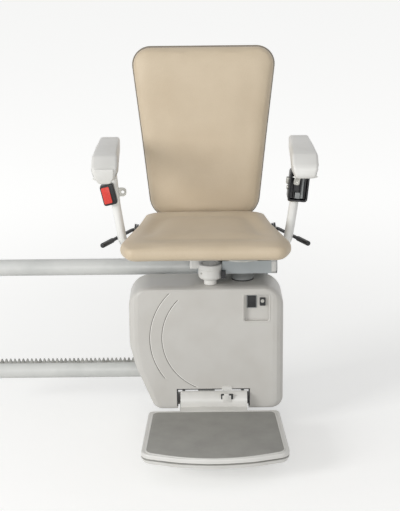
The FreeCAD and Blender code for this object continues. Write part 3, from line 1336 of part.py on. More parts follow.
def arm_centre(z):
    """The x of the right-hand arm tube's middle at this height."""
    if z < ARM_MID_Z:
        share = (z - ARM_RUN_Z) / (ARM_MID_Z - ARM_RUN_Z)
        return ARM_ELBOW_X + (ARM_MID_X - ARM_ELBOW_X) * share
    share = (z - ARM_MID_Z) / (ARM_HINGE_Z - ARM_MID_Z)
    return ARM_MID_X + (ARM_TOP_X - ARM_MID_X) * share


def buckle_body():
    """The belt buckle on the front of the left-hand arm tube."""
    front = BUCKLE_FRONT
    half = BUCKLE_WIDTH / 2
    low = BUCKLE_Z - BUCKLE_HEIGHT / 2
    body = prism(rectangle(BUCKLE_X - half, BUCKLE_X + half, low, low + BUCKLE_HEIGHT, BUCKLE_CORNER_R),
                 at_y(front), V(0, BUCKLE_DEPTH, 0))
    body = body.makeFillet(BUCKLE_EDGE_R, [e for e in body.Edges if e.BoundBox.YMax < front + 0.01])
    gap = BUTTON_GAP
    body = body.cut(box(BUCKLE_X - BUTTON_WIDTH / 2 - gap, BUCKLE_X + BUTTON_WIDTH / 2 + gap, front - 1,
                        front + BUTTON_DEPTH, button_low() - gap, button_low() + BUTTON_HEIGHT + gap))
    return body.cut(arm_upright_left())


def button_low():
    """The bottom of the buckle's button."""
    return BUCKLE_Z - BUTTON_HEIGHT / 2 + BUTTON_OFFSET


def buckle_button():
    """The red release button."""
    front = BUCKLE_FRONT - BUTTON_PROUD
    half = BUTTON_WIDTH / 2
    low = button_low()
    button = prism(rectangle(BUCKLE_X - half, BUCKLE_X + half, low, low + BUTTON_HEIGHT, BUTTON_CORNER_R),
                   at_y(front), V(0, BUTTON_THICK, 0))
    return button.makeFillet(BUTTON_EDGE_R, [e for e in button.Edges if e.BoundBox.YMax < front + 0.01])


def buckle_lug():
    """The steel lug clamped on the inner side of the left-hand arm tube."""
    centre = -arm_centre(BUCKLE_Z)
    inner = centre + ARM_TUBE_R + LUG_REACH
    low = BUCKLE_Z - LUG_LOW
    high = BUCKLE_Z + LUG_HIGH
    plate = prism([(centre, low, 0), (inner, low, LUG_END_R), (inner, high, LUG_END_R), (centre, high, 0)],
                  at_y(ARM_Y - LUG_THICK / 2), V(0, LUG_THICK, 0))
    hole_x = inner - LUG_END_R
    hole_z = (low + high) / 2
    hole = rod(LUG_HOLE_R, V(hole_x, ARM_Y - LUG_THICK, hole_z), V(hole_x, ARM_Y + LUG_THICK, hole_z))
    plate = plate.cut(hole)
    return plate.cut(arm_upright_left())


def retractor_housing():
    """The belt reel's housing on the right-hand arm tube."""
    front = RETRACTOR_FRONT
    half = RETRACTOR_WIDTH / 2
    low = RETRACTOR_Z - RETRACTOR_HEIGHT / 2
    high = low + RETRACTOR_HEIGHT
    outline = rectangle(RETRACTOR_X - half, RETRACTOR_X + half, low, high, RETRACTOR_CORNER_R)
    body = prism(outline, at_y(front), V(0, RETRACTOR_DEPTH, 0))
    body = body.makeFillet(RETRACTOR_EDGE_R, [e for e in body.Edges if e.BoundBox.YMax < front + 0.01])
    slot = box(RETRACTOR_X - BELT_SLOT_HALF, RETRACTOR_X + BELT_SLOT_HALF, front - 1, front + BELT_SLOT_DEPTH,
               RETRACTOR_Z + BELT_SLOT_LOW, RETRACTOR_Z + BELT_SLOT_HIGH)
    return body.cut(slot).cut(arm_upright_right())


def belt_tongue():
    """The belt's metal tongue, parked against the housing's slot."""
    front = at_y(RETRACTOR_FRONT - TONGUE_THICK)
    through = V(0, TONGUE_THICK, 0)
    x = RETRACTOR_X + TONGUE_OFFSET
    outline = rectangle(x - TONGUE_HALF, x + TONGUE_HALF, RETRACTOR_Z - TONGUE_LOW, RETRACTOR_Z + TONGUE_HIGH,
                        TONGUE_CORNER_R)
    opening = rectangle(x - TONGUE_HOLE_HALF, x + TONGUE_HOLE_HALF, RETRACTOR_Z + TONGUE_HOLE_LOW,
                        RETRACTOR_Z + TONGUE_HOLE_HIGH, TONGUE_HOLE_R)
    return prism(outline, front, through).cut(prism(opening, front, through))


def arm_upright_right():
    """The right-hand arm tube."""
    return arm_upright()


def arm_upright_left():
    """The left-hand arm tube."""
    return mirrored(arm_upright())


def release_levers():
    """The cross shaft with both swivel levers and their grips."""
    points = [V(-LEVER_TIP_X, LEVER_TIP_Y, SHAFT_Z), V(-LEVER_SHAFT_X, SHAFT_Y, SHAFT_Z),
              V(LEVER_SHAFT_X, SHAFT_Y, SHAFT_Z), V(LEVER_TIP_X, LEVER_TIP_Y, SHAFT_Z)]
    shape = bent_rod(points, [LEVER_BEND_R, LEVER_BEND_R], SHAFT_R)
    for tip, root in ((points[0], points[1]), (points[3], points[2])):
        back = (root - tip).normalize()
        grip = rod(GRIP_R, tip - back * GRIP_CAP, tip + back * GRIP_LENGTH)
        grip = grip.makeFillet(GRIP_END_R, [e for e in grip.Edges if e.isClosed()])
        shape = shape.fuse(grip)
    return shape.removeSplitter()


def platform_corners(inset):
    """The footrest from above, with its bowed front edge."""
    right = [(FOOTREST_X + PLATFORM_HALF_BACK, PLATFORM_BACK, PLATFORM_REAR_R),
             (FOOTREST_X + PLATFORM_HALF_FRONT, PLATFORM_FRONT, PLATFORM_CORNER_R)]
    left = [(2 * FOOTREST_X - x, y, r) for x, y, r in reversed(right)]
    quarter_x = PLATFORM_HALF_FRONT / 2
    quarter_y = PLATFORM_FRONT - PLATFORM_BOW * BOW_QUARTER
    middle = [(FOOTREST_X + quarter_x, quarter_y, BOW_QUARTER_R),
              (FOOTREST_X, PLATFORM_FRONT - PLATFORM_BOW, BOW_MIDDLE_R),
              (FOOTREST_X - quarter_x, quarter_y, BOW_QUARTER_R)]
    return drawn_in(right + middle + left, inset)


def pan_post_places():
    """Where the safety pan's four guide posts stand."""
    reach = PLATFORM_HALF_BACK * PAN_POST_SPREAD
    xs = (FOOTREST_X - reach, FOOTREST_X + reach)
    ys = (PLATFORM_BACK - PAN_POST_IN, PLATFORM_FRONT + PAN_POST_IN)
    return [(x, y) for x in xs for y in ys]


def post_bore_top():
    """How high the safety pan's guide bores reach in the platform."""
    return PLATFORM_TOP - MAT_POCKET - PAN_BORE_ROOF


def footrest_platform():
    """The footrest's moulded platform, with the mat's pocket, pan guides and hinge knuckles."""
    slab = prism(platform_corners(0), at_z(PLATFORM_BOTTOM), V(0, 0, PLATFORM_TOP - PLATFORM_BOTTOM))
    slab = slab.makeFillet(PLATFORM_EDGE_R, [e for e in slab.Edges if e.BoundBox.ZMin > PLATFORM_TOP - 0.01])
    pocket = prism(platform_corners(MAT_MARGIN), at_z(PLATFORM_TOP - MAT_POCKET), V(0, 0, MAT_POCKET))
    slab = slab.cut(pocket)
    plate_back = FOOTREST_HINGE_Y
    plate_top = FOOTREST_HINGE_Z - KNUCKLE_R
    knuckle_left = FOOTREST_X - KNUCKLE_HALF
    knuckle_right = FOOTREST_X + KNUCKLE_HALF
    neck = box(knuckle_left, knuckle_right, PLATFORM_BACK - 5, plate_back, PLATFORM_BOTTOM, plate_top)
    barrel = rod(KNUCKLE_R, V(knuckle_left, FOOTREST_HINGE_Y, FOOTREST_HINGE_Z),
                 V(knuckle_right, FOOTREST_HINGE_Y, FOOTREST_HINGE_Z))
    web = box(knuckle_left, knuckle_right, FOOTREST_HINGE_Y - KNUCKLE_R, FOOTREST_HINGE_Y, PLATFORM_BOTTOM,
              FOOTREST_HINGE_Z)
    slab = slab.fuse(neck).fuse(web).fuse(barrel).fuse(hinge_cover())
    slab = slab.cut(rod(FOOTREST_PIN_R + RUNNING_GAP, V(knuckle_left - 1, FOOTREST_HINGE_Y, FOOTREST_HINGE_Z),
                        V(knuckle_right + 1, FOOTREST_HINGE_Y, FOOTREST_HINGE_Z)))
    post_bore = PAN_POST_R + RUNNING_GAP
    for x, y in pan_post_places():
        slab = slab.cut(rod(post_bore, V(x, y, PLATFORM_BOTTOM), V(x, y, post_bore_top())))
    return slab.removeSplitter()


def hinge_cover():
    """The round cover over the hinge, turning about the pin, with its ledge and end cheeks."""
    y = FOOTREST_HINGE_Y
    z = FOOTREST_HINGE_Z
    left = V(COVER_LEFT, y, z)
    right = V(COVER_RIGHT, y, z)
    front_half = box(COVER_LEFT, COVER_RIGHT, y - COVER_R, y - COVER_AHEAD, PLATFORM_BOTTOM, z + COVER_R)
    drum = rod(COVER_R, left, right).common(front_half)
    step = V(COVER_CHEEK, 0, 0)
    drum = drum.cut(rod(COVER_R - COVER_WALL, left + step, right - step))
    ledge_back = y - COVER_R / 2
    ledge = box(COVER_LEFT, COVER_RIGHT, PLATFORM_BACK - 5, ledge_back, PLATFORM_BOTTOM, PLATFORM_TOP)
    hollow = rod(COVER_R - COVER_WALL, left, right)
    return drum.fuse(ledge.cut(hollow))


def footrest_mat():
    """The ribbed rubber mat in the platform's pocket."""
    floor = PLATFORM_TOP - MAT_POCKET
    mat = prism(platform_corners(MAT_MARGIN + MAT_GAP), at_z(floor), V(0, 0, MAT_POCKET + MAT_PROUD))
    rim = [e for e in mat.Edges if e.BoundBox.ZMin > PLATFORM_TOP + MAT_PROUD - 0.01]
    return mat.makeFillet(MAT_EDGE_R, rim)


def footrest_underpan():
    """The safety pan under the footrest, which lifts on four posts when it meets an obstacle."""
    bottom = rounded_wire(platform_corners(PAN_DRAFT), at_z(PAN_BOTTOM))
    top = rounded_wire(platform_corners(0), at_z(PAN_TOP))
    pan = Part.makeLoft([bottom, top], True, True)
    post_top = post_bore_top() - POST_END_GAP - PAN_TRAVEL
    for x, y in pan_post_places():
        pan = pan.fuse(rod(PAN_POST_R, V(x, y, PAN_TOP), V(x, y, post_top)))
    return pan.removeSplitter()


def footrest_hinge_bracket():
    """The two arms from the chassis that hold the footrest's hinge pin."""
    y = FOOTREST_HINGE_Y
    z = FOOTREST_HINGE_Z
    nose = y - ARM_NOSE
    corners = [(CHASSIS_FRONT, z - ARM_ROOT_DOWN, 0), (CHASSIS_FRONT, z + ARM_ROOT_UP, 0),
               (y + ARM_RISE_BACK, z + ARM_RISE_UP, ARM_BEND_R),
               (y + ARM_DIP_BACK, z + ARM_DIP_UP, ARM_BEND_R),
               (nose, z + ARM_NOSE_HALF, ARM_NOSE_R), (nose, z - ARM_NOSE_HALF, ARM_NOSE_R),
               (y + ARM_KNEE_BACK, z - ARM_KNEE_DOWN, ARM_BEND_R)]
    places = (BRACKET_LEFT, BRACKET_RIGHT - SIDE_ARM_THICK)
    arms = [prism(corners, at_x(x), V(SIDE_ARM_THICK, 0, 0)) for x in places]
    return Part.makeCompound(arms).cut(footrest_hinge_pin())


def footrest_hinge_pin():
    """The pin that the footrest turns on."""
    return rod(FOOTREST_PIN_R, V(BRACKET_LEFT - HINGE_PIN_PROUD, FOOTREST_HINGE_Y, FOOTREST_HINGE_Z),
               V(BRACKET_RIGHT + HINGE_PIN_PROUD, FOOTREST_HINGE_Y, FOOTREST_HINGE_Z))


def footrest_latch_tab():
    """The small tab over the footrest's notch."""
    return prism(rectangle(TAB_LEFT, TAB_RIGHT, TAB_TOP - TAB_HEIGHT, TAB_TOP, TAB_CORNER_R),
                 at_y(CASING_FRONT - TAB_PROUD), V(0, TAB_PROUD, 0))


NODES = {
    "rail_tube_upper": lambda: rail_tube(UPPER_TUBE_Z),
    "rail_tube_lower": lambda: rail_tube(LOWER_TUBE_Z),
    "rail_end_caps": rail_end_caps,
    "drive_rack": drive_rack,
    "rail_stanchion": rail_stanchion,
    "foot_plate": foot_plate,
    "chassis_plate": chassis_plate,
    "roller_axles": roller_axles,
    "top_roller_left": lambda: tube_roller(TOP_ROLLER_X[0], TOP_ROLLER_Z),
    "top_roller_right": lambda: tube_roller(TOP_ROLLER_X[1], TOP_ROLLER_Z),
    "under_roller_left": lambda: tube_roller(UNDER_ROLLER_X[0], UNDER_ROLLER_Z),
    "under_roller_right": lambda: tube_roller(UNDER_ROLLER_X[1], UNDER_ROLLER_Z),
    "front_roller_left": lambda: front_roller(FRONT_ROLLER_X[0]),
    "front_roller_right": lambda: front_roller(FRONT_ROLLER_X[1]),
    "drive_pinion": drive_pinion,
    "drive_gearmotor": drive_gearmotor,
    "batteries": batteries,
    "control_board": control_board,
    "front_casing": front_casing,
    "casing_screws": casing_screws,
    "control_recess": control_recess,
    "isolator_rocker": isolator_rocker,
    "key_switch_body": key_switch_body,
    "key_switch_rotor": key_switch_rotor,
    "seat_post": seat_post,
    "post_boots": post_boots,
    "seat_carrier": seat_carrier,
    "carrier_covers": carrier_covers,
    "interlock_housing": interlock_housing,
    "interlock_connector": interlock_connector,
    "swivel_index_plate": swivel_index_plate,
    "swivel_plate": swivel_plate,
    "latch_pin": latch_pin,
    "seat_frame": seat_frame,
    "seat_buffers": seat_buffers,
    "frame_brackets": frame_brackets,
    "hinge_pins": hinge_pins,
    "seat_hinge_leaves": seat_hinge_leaves,
    "seat_board": seat_board,
    "seat_cushion": seat_cushion,
    "back_spine": back_spine,
    "backrest_shell": backrest_shell,
    "backrest_cushion": backrest_cushion,
    "arm_upright_left": arm_upright_left,
    "arm_upright_right": arm_upright_right,
    "arm_pad_left": arm_pad_left,
    "arm_pad_right": arm_pad_right,
    "direction_toggle": direction_toggle,
    "buckle_body": buckle_body,
    "buckle_button": buckle_button,
    "buckle_lug": buckle_lug,
    "retractor_housing": retractor_housing,
    "belt_tongue": belt_tongue,
    "release_levers": release_levers,
    "footrest_platform": footrest_platform,
    "footrest_mat": footrest_mat,
    "footrest_underpan": footrest_underpan,
    "footrest_hinge_pin": footrest_hinge_pin,
    "footrest_hinge_bracket": footrest_hinge_bracket,
    "footrest_latch_tab": footrest_latch_tab,
}


def main():
    """Writes one STEP file for each piece."""
    os.makedirs("parts", exist_ok=True)
    for name, make in NODES.items():
        shape = make()
        if not shape.isValid() or shape.Volume <= 0:
            print("check", name, shape.isValid(), shape.Volume)
        shape.exportStep(os.path.join("parts", name + ".step"))


main()
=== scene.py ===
"""Looks of the stairlift chair: finishes, upholstery, mouldings, belt parts, light and camera."""

from __future__ import annotations

import logging
import math
from dataclasses import dataclass
from enum import Enum
from typing import Callable, Iterable, Sequence

import bmesh
import bpy
from mathutils import Matrix, Vector


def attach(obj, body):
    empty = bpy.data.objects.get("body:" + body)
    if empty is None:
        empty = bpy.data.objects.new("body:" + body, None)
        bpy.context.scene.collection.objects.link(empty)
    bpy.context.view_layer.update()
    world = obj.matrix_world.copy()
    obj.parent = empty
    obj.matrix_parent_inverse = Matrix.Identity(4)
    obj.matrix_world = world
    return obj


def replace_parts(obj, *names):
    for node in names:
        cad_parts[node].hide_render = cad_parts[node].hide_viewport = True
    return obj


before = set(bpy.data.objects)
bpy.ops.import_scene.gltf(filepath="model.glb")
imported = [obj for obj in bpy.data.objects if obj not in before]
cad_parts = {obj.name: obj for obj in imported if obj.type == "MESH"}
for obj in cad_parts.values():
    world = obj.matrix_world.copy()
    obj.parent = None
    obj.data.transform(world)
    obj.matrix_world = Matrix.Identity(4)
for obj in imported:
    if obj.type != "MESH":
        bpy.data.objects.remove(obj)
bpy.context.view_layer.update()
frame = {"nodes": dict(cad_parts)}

MM = 0.001
log = logging.getLogger("stairlift")

Point = Sequence[float]
Edges = list[bmesh.types.BMEdge]
Verts = list[bmesh.types.BMVert]


def linear(hex_colour: str) -> tuple[float, float, float, float]:
    """Turns an sRGB hex colour into a linear colour.

    Args:
        hex_colour: six hex digits, such as "C0BDB7".

    Returns:
        Red, green, blue and an alpha of 1, linear.
    """
    parts = [int(hex_colour[i : i + 2], 16) / 255 for i in (0, 2, 4)]
    red, green, blue = (
        p / 12.92 if p <= 0.04045 else ((p + 0.055) / 1.055) ** 2.4 for p in parts
    )
    return red, green, blue, 1.0


def per_metre(size_mm: float) -> float:
    """The texture scale at which one cell of a pattern on Object coordinates is size_mm wide."""
    return 1000.0 / size_mm


def add_node(
    tree: bpy.types.NodeTree,
    kind: str,
    values: dict[str | int, object] | None = None,
    links: dict[str | int, bpy.types.NodeSocket] | None = None,
    **settings: object,
) -> bpy.types.Node:
    """Adds one node with its settings, socket values and incoming links.

    Args:
        tree: the node tree that gets the node.
        kind: the node's type, such as "ShaderNodeTexNoise".
        values: constants for input sockets.
        links: output sockets that feed input sockets.
        **settings: attributes of the node itself.

    Returns:
        The new node.
    """
    node = tree.nodes.new(kind)
    for name, value in settings.items():
        setattr(node, name, value)
    for name, value in (values or {}).items():
        node.inputs[name].default_value = value
    for name, source in (links or {}).items():
        tree.links.new(source, node.inputs[name])
    return node


def mixed(
    tree: bpy.types.NodeTree, factor: bpy.types.NodeSocket, first: bpy.types.NodeSocket | str, second: str
) -> bpy.types.NodeSocket:
    """Mixes two colours.

    Args:
        tree: the node tree.
        factor: how much of the second colour shows, 0 to 1.
        first: a colour socket, or a colour in sRGB hex.
        second: a colour in sRGB hex.

    Returns:
        The mixed colour.
    """
    mix = add_node(tree, "ShaderNodeMix", {}, {"Factor": factor}, data_type="RGBA")
    low, high = (socket for socket in mix.inputs if socket.type == "RGBA")
    if isinstance(first, str):
        low.default_value = linear(first)
    else:
        tree.links.new(first, low)
    high.default_value = linear(second)
    return next(socket for socket in mix.outputs if socket.type == "RGBA")


def linked(name: str, data: bpy.types.ID) -> bpy.types.Object:
    """Makes an object of some data and puts it in the scene."""
    obj = bpy.data.objects.new(name, data)
    bpy.context.scene.collection.objects.link(obj)
    return obj


def panel(x: float, z: float, half_wide: float, half_high: float, y: float) -> list[Point]:
    """The corners of an upright rectangle that faces the front, in mm."""
    return [
        (x - half_wide, y, z - half_high), (x + half_wide, y, z - half_high),
        (x + half_wide, y, z + half_high), (x - half_wide, y, z + half_high),
    ]


class Slot(Enum):
    """The record's material slots that new pieces take their finish from."""

    RAIL_PAINT = "rail_paint"
    RACK_STEEL = "rack_steel"
    FRAME_PAINT = "frame_paint"
    DARK_PAINT = "dark_paint"
    WHITE_PAINT = "white_paint"
    CASING_PLASTIC = "casing_plastic"
    WHITE_PLASTIC = "white_plastic"
    BLACK_PLASTIC = "black_plastic"
    GREY_PLASTIC = "grey_plastic"
    RED_PLASTIC = "red_plastic"
    RUBBER_BLACK = "rubber_black"
    MAT_RUBBER = "mat_rubber"
    STEEL = "steel"
    ROLLER_NYLON = "roller_nylon"
    UPHOLSTERY = "upholstery"
    SHELL_PLASTIC = "shell_plastic"
    BOARD_GREEN = "board_green"
    BATTERY_CASE = "battery_case"
    BOARD_WOOD = "board_wood"


@dataclass(frozen=True)
class Finish:
    """A finish: its name and the shader values that are the same all over a surface."""

    name: str
    slot: Slot
    colour: str
    roughness: float
    darker: str

    def begin(self) -> tuple[bpy.types.Material, bpy.types.NodeTree, bpy.types.Node, bpy.types.NodeSocket]:
        """Starts the material.

        Returns:
            The material, its tree, its Principled shader and the Object coordinates.
        """
        material = bpy.data.materials.new(self.name)
        material.use_nodes = True
        tree = material.node_tree
        shader = tree.nodes["Principled BSDF"]
        shader.inputs["Roughness"].default_value = self.roughness
        where = add_node(tree, "ShaderNodeTexCoord")
        return material, tree, shader, where.outputs["Object"]

    def tinted(self, tree: bpy.types.NodeTree, shader: bpy.types.Node, drift: bpy.types.NodeSocket) -> None:
        """Lets the colour drift from the finish's own to a darker one.

        Args:
            tree: the material's tree.
            shader: its Principled shader.
            drift: how much of the darker colour shows, 0 to 1.
        """
        tree.links.new(mixed(tree, drift, self.colour, self.darker), shader.inputs["Base Color"])

    def clouded(
        self, tree: bpy.types.NodeTree, shader: bpy.types.Node, where: bpy.types.NodeSocket, size_mm: float,
        span: tuple[float, float], **noise: float,
    ) -> bpy.types.NodeSocket:
        """Lets the colour drift to the finish's darker one in clouds.

        Args:
            tree: the material's tree.
            shader: its Principled shader.
            where: the Object coordinates.
            size_mm: how wide a cloud is.
            span: the noise values at which the darker colour starts and is full.
            **noise: the noise's other values, such as Detail.

        Returns:
            The clouds' value, 0 to 1.
        """
        cloud = add_node(
            tree, "ShaderNodeTexNoise", {"Scale": per_metre(size_mm), **noise}, {"Vector": where}
        ).outputs["Fac"]
        shade = add_node(
            tree, "ShaderNodeMapRange", {"From Min": span[0], "From Max": span[1]}, {"Value": cloud}
        )
        self.tinted(tree, shader, shade.outputs[0])
        return cloud

    def rough_drift(
        self, tree: bpy.types.NodeTree, shader: bpy.types.Node, drift: bpy.types.NodeSocket, spread: float
    ) -> None:
        """Lets the roughness vary round the finish's own value by plus or minus spread."""
        ranged = add_node(
            tree,
            "ShaderNodeMapRange",
            {"To Min": max(0.02, self.roughness - spread), "To Max": min(1.0, self.roughness + spread)},
            {"Value": drift},
        )
        tree.links.new(ranged.outputs[0], shader.inputs["Roughness"])

    def bumped(
        self, tree: bpy.types.NodeTree, shader: bpy.types.Node, height: bpy.types.NodeSocket,
        depth_mm: float, strength: float,
    ) -> bpy.types.Node:
        """Raises the surface by a height pattern.

        Returns:
            The bump node, so that a second pattern can stand on it.
        """
        bump = add_node(
            tree, "ShaderNodeBump", {"Strength": strength, "Distance": depth_mm * MM}, {"Height": height}
        )
        tree.links.new(bump.outputs["Normal"], shader.inputs["Normal"])
        return bump


@dataclass(frozen=True)
class PowderCoat(Finish):
    """Polyester powder coat on steel: an even, half-gloss skin with a fine orange peel."""

    peel_mm: float = 2.2

    def material(self) -> bpy.types.Material:
        """Builds the material."""
        material, tree, shader, where = self.begin()
        # The peel of a baked coat is 1 to 2 mm across; drawn at 2.2 mm so that it shows as a soft ripple.
        peel = add_node(
            tree, "ShaderNodeTexNoise", {"Scale": per_metre(self.peel_mm), "Detail": 1.5}, {"Vector": where}
        )
        # Handling and dust change the shade over about 140 mm.
        cloud = self.clouded(tree, shader, where, 140, (0.42, 0.8), Detail=3.0, Roughness=0.6)
        self.rough_drift(tree, shader, cloud, 0.06)
        self.bumped(tree, shader, peel.outputs["Fac"], 0.05, 0.35)
        shader.inputs["Coat Weight"].default_value = 0.15
        shader.inputs["Coat Roughness"].default_value = 0.25
        return material


@dataclass(frozen=True)
class MouldedPlastic(Finish):
    """Injection-moulded ABS: a spark-eroded grain that breaks up the highlight, and a faint drift of shade."""

    grain_mm: float = 1.1
    grain_depth: float = 0.03
    sheen_drift: float = 0.05

    def material(self) -> bpy.types.Material:
        """Builds the material."""
        material, tree, shader, where = self.begin()
        # A spark-eroded grain is 0.2 to 0.5 mm; drawn about twice as coarse so that close views show it.
        grain = add_node(
            tree, "ShaderNodeTexNoise", {"Scale": per_metre(self.grain_mm), "Detail": 4.0, "Roughness": 0.65},
            {"Vector": where},
        )
        # Flow and ageing of a large moulding: clouds about 90 mm wide.
        self.clouded(tree, shader, where, 90, (0.4, 0.85), Detail=2.0)
        self.rough_drift(tree, shader, grain.outputs["Fac"], self.sheen_drift)
        self.bumped(tree, shader, grain.outputs["Fac"], self.grain_depth, 0.4)
        shader.inputs["IOR"].default_value = 1.53
        return material


@dataclass(frozen=True)
class GroovedCasing(MouldedPlastic):
    """The casing's ABS, with painted shade in the two moulded arcs on its left half and a painted highlight on
    their far lip.
    """

    arcs_mm: tuple[tuple[float, float, float, float, float], ...] = (
        (31.0, 285.0, 190.0, 167.0, 420.0), (36.0, 287.0, 161.0, 140.0, 400.0)
    )
    half_line: float = 0.9
    front_of: float = -0.18
    # How far inside the groove's middle each painted line runs, and its colour: painted shade on the near wall,
    # a painted highlight on the far lip.
    lines: tuple[tuple[float, str], ...] = ((0.2, "6E6A64"), (2.1, "EDEBE7"))

    def material(self) -> bpy.types.Material:
        """Builds the material."""
        material = super().material()
        tree = material.node_tree
        shader = tree.nodes["Principled BSDF"]
        plain = shader.inputs["Base Color"].links[0].from_socket
        where = tree.nodes["Texture Coordinate"].outputs["Object"]
        # Each arc gets a line of painted shade on its near wall and a line of painted highlight on its far lip.
        for x, z, radius, low, high in self.arcs_mm:
            for inside, colour in self.lines:
                mask = self.painted_line_mask(tree, where, (x, z), radius - inside, (low, high))
                plain = mixed(tree, mask, plain, colour)
        tree.links.new(plain, shader.inputs["Base Color"])
        return material

    def painted_line_mask(
        self, tree: bpy.types.NodeTree, where: bpy.types.NodeSocket, centre: tuple[float, float],
        radius: float, span: tuple[float, float],
    ) -> bpy.types.NodeSocket:
        """Marks a thin arc on the casing's front for one of the painted shade and highlight lines.

        Args:
            tree: the material's tree.
            where: the Object coordinates.
            centre: the arc's centre, x and z in mm.
            radius: its radius in mm.
            span: the heights between which it runs, in mm.

        Returns:
            1 on the line and 0 elsewhere.
        """
        x, y, z = add_node(tree, "ShaderNodeSeparateXYZ", {}, {0: where}).outputs
        flat = add_node(tree, "ShaderNodeCombineXYZ", {}, {"X": x, "Y": z})
        away = add_node(
            tree, "ShaderNodeVectorMath", {1: (centre[0] * MM, centre[1] * MM, 0.0)}, {0: flat.outputs[0]},
            operation="DISTANCE",
        ).outputs["Value"]
        middle, reach = sum(span) / 2, (span[1] - span[0]) / 2
        tests = [
            add_node(tree, "ShaderNodeMath", values, {0: source}, operation=operation)
            for values, source, operation in (
                ({1: radius * MM, 2: self.half_line * MM}, away, "COMPARE"),
                ({1: middle * MM, 2: reach * MM}, z, "COMPARE"),
                ({1: centre[0] * MM}, x, "LESS_THAN"),
                ({1: self.front_of}, y, "LESS_THAN"),
            )
        ]
        product = tests[0].outputs[0]
        for test in tests[1:]:
            product = add_node(
                tree, "ShaderNodeMath", {}, {0: product, 1: test.outputs[0]}, operation="MULTIPLY"
            ).outputs[0]
        return product


@dataclass(frozen=True)
class Leatherette(Finish):
    """PVC-coated cloth: a pebbled leather grain, painted shade in the grain's creases, and a dull sheen."""

    pebble_mm: float = 2.4

    def material(self) -> bpy.types.Material:
        """Builds the material."""
        material, tree, shader, where = self.begin()
        # Embossed pebbles are 1 to 1.5 mm; drawn at 2.4 mm so that they show.
        warp = add_node(
            tree, "ShaderNodeTexNoise", {"Scale": per_metre(5.0), "Detail": 2.0}, {"Vector": where}
        )
        bent = add_node(
            tree, "ShaderNodeVectorMath", {1: (0.0014, 0.0014, 0.0014)}, {0: warp.outputs["Color"]},
            operation="MULTIPLY",
        )
        moved = add_node(
            tree, "ShaderNodeVectorMath", {}, {0: where, 1: bent.outputs[0]}, operation="ADD"
        )
        pebbles = add_node(
            tree, "ShaderNodeTexVoronoi", {"Scale": per_metre(self.pebble_mm), "Randomness": 0.9},
            {"Vector": moved.outputs[0]}, feature="DISTANCE_TO_EDGE",
        )
        creases = add_node(
            tree, "ShaderNodeMapRange", {"From Min": 0.0, "From Max": 0.16},
            {"Value": pebbles.outputs["Distance"]},
        )
        # Stretch lines of the covering, 30 to 60 mm long and shallow.
        pull = add_node(
            tree, "ShaderNodeTexNoise", {"Scale": per_metre(38), "Detail": 2.0, "Distortion": 0.4},
            {"Vector": where},
        )
        cloud = add_node(
            tree, "ShaderNodeTexNoise", {"Scale": per_metre(120), "Detail": 3.0}, {"Vector": where}
        )
        shade = add_node(
            tree, "ShaderNodeMapRange", {"From Min": 0.38, "From Max": 0.9, "To Max": 0.75},
            {"Value": cloud.outputs["Fac"]},
        )
        # Painted shade: the colour darkens in the creases between the pebbles, towards each pebble's edge.
        dark = add_node(
            tree, "ShaderNodeMapRange", {"To Min": 0.32, "To Max": 0.0}, {"Value": creases.outputs[0]}
        )
        # The random drift of tone plus the painted crease shade.
        both = add_node(
            tree, "ShaderNodeMath", {}, {0: shade.outputs[0], 1: dark.outputs[0]}, operation="ADD",
            use_clamp=True,
        )
        self.tinted(tree, shader, both.outputs[0])
        self.rough_drift(tree, shader, creases.outputs[0], 0.05)
        grain = self.bumped(tree, shader, creases.outputs[0], 0.09, 0.35)
        soft = add_node(
            tree, "ShaderNodeBump", {"Strength": 0.18, "Distance": 1.2 * MM}, {"Height": pull.outputs["Fac"]}
        )
        tree.links.new(soft.outputs["Normal"], grain.inputs["Normal"])
        shader.inputs["IOR"].default_value = 1.5
        shader.inputs["Sheen Weight"].default_value = 0.12
        shader.inputs["Sheen Roughness"].default_value = 0.5
        return material


@dataclass(frozen=True)
class Rubber(Finish):
    """Moulded rubber: matt, dusty and slightly pimpled."""

    pimple_mm: float = 1.6
    pimple_depth: float = 0.08

    def material(self) -> bpy.types.Material:
        """Builds the material."""
        material, tree, shader, where = self.begin()
        # The moulded texture of a step mat is about 1 mm; drawn a little coarser.
        pimples = add_node(
            tree, "ShaderNodeTexVoronoi", {"Scale": per_metre(self.pimple_mm), "Randomness": 0.65},
            {"Vector": where},
        )
        # Dust lies in patches about 70 mm wide.
        dust = self.clouded(tree, shader, where, 70, (0.35, 0.75), Detail=5.0, Roughness=0.62)
        self.rough_drift(tree, shader, dust, 0.06)
        self.bumped(tree, shader, pimples.outputs["Distance"], self.pimple_depth, 0.5)
        return material


@dataclass(frozen=True)
class BareSteel(Finish):
    """Bare or zinc-plated steel: drawn or turned, with fine streaks and a cloudy plating."""

    streak: tuple[float, float, float] = (1.0, 12.0, 12.0)

    def material(self) -> bpy.types.Material:
        """Builds the material."""
        material, tree, shader, where = self.begin()
        turned = add_node(tree, "ShaderNodeMapping", {"Scale": self.streak}, {"Vector": where})
        # Drawing marks: 9 mm long and under 1 mm wide once stretched.
        streaks = add_node(
            tree, "ShaderNodeTexNoise", {"Scale": per_metre(9), "Detail": 4.0, "Roughness": 0.7},
            {"Vector": turned.outputs[0]},
        )
        # The plating's passivation clouds over about 22 mm.
        self.clouded(tree, shader, where, 22, (0.35, 0.75), Detail=4.0)
        self.rough_drift(tree, shader, streaks.outputs["Fac"], 0.12)
        self.bumped(tree, shader, streaks.outputs["Fac"], 0.02, 0.25)
        shader.inputs["Metallic"].default_value = 1.0
        return material


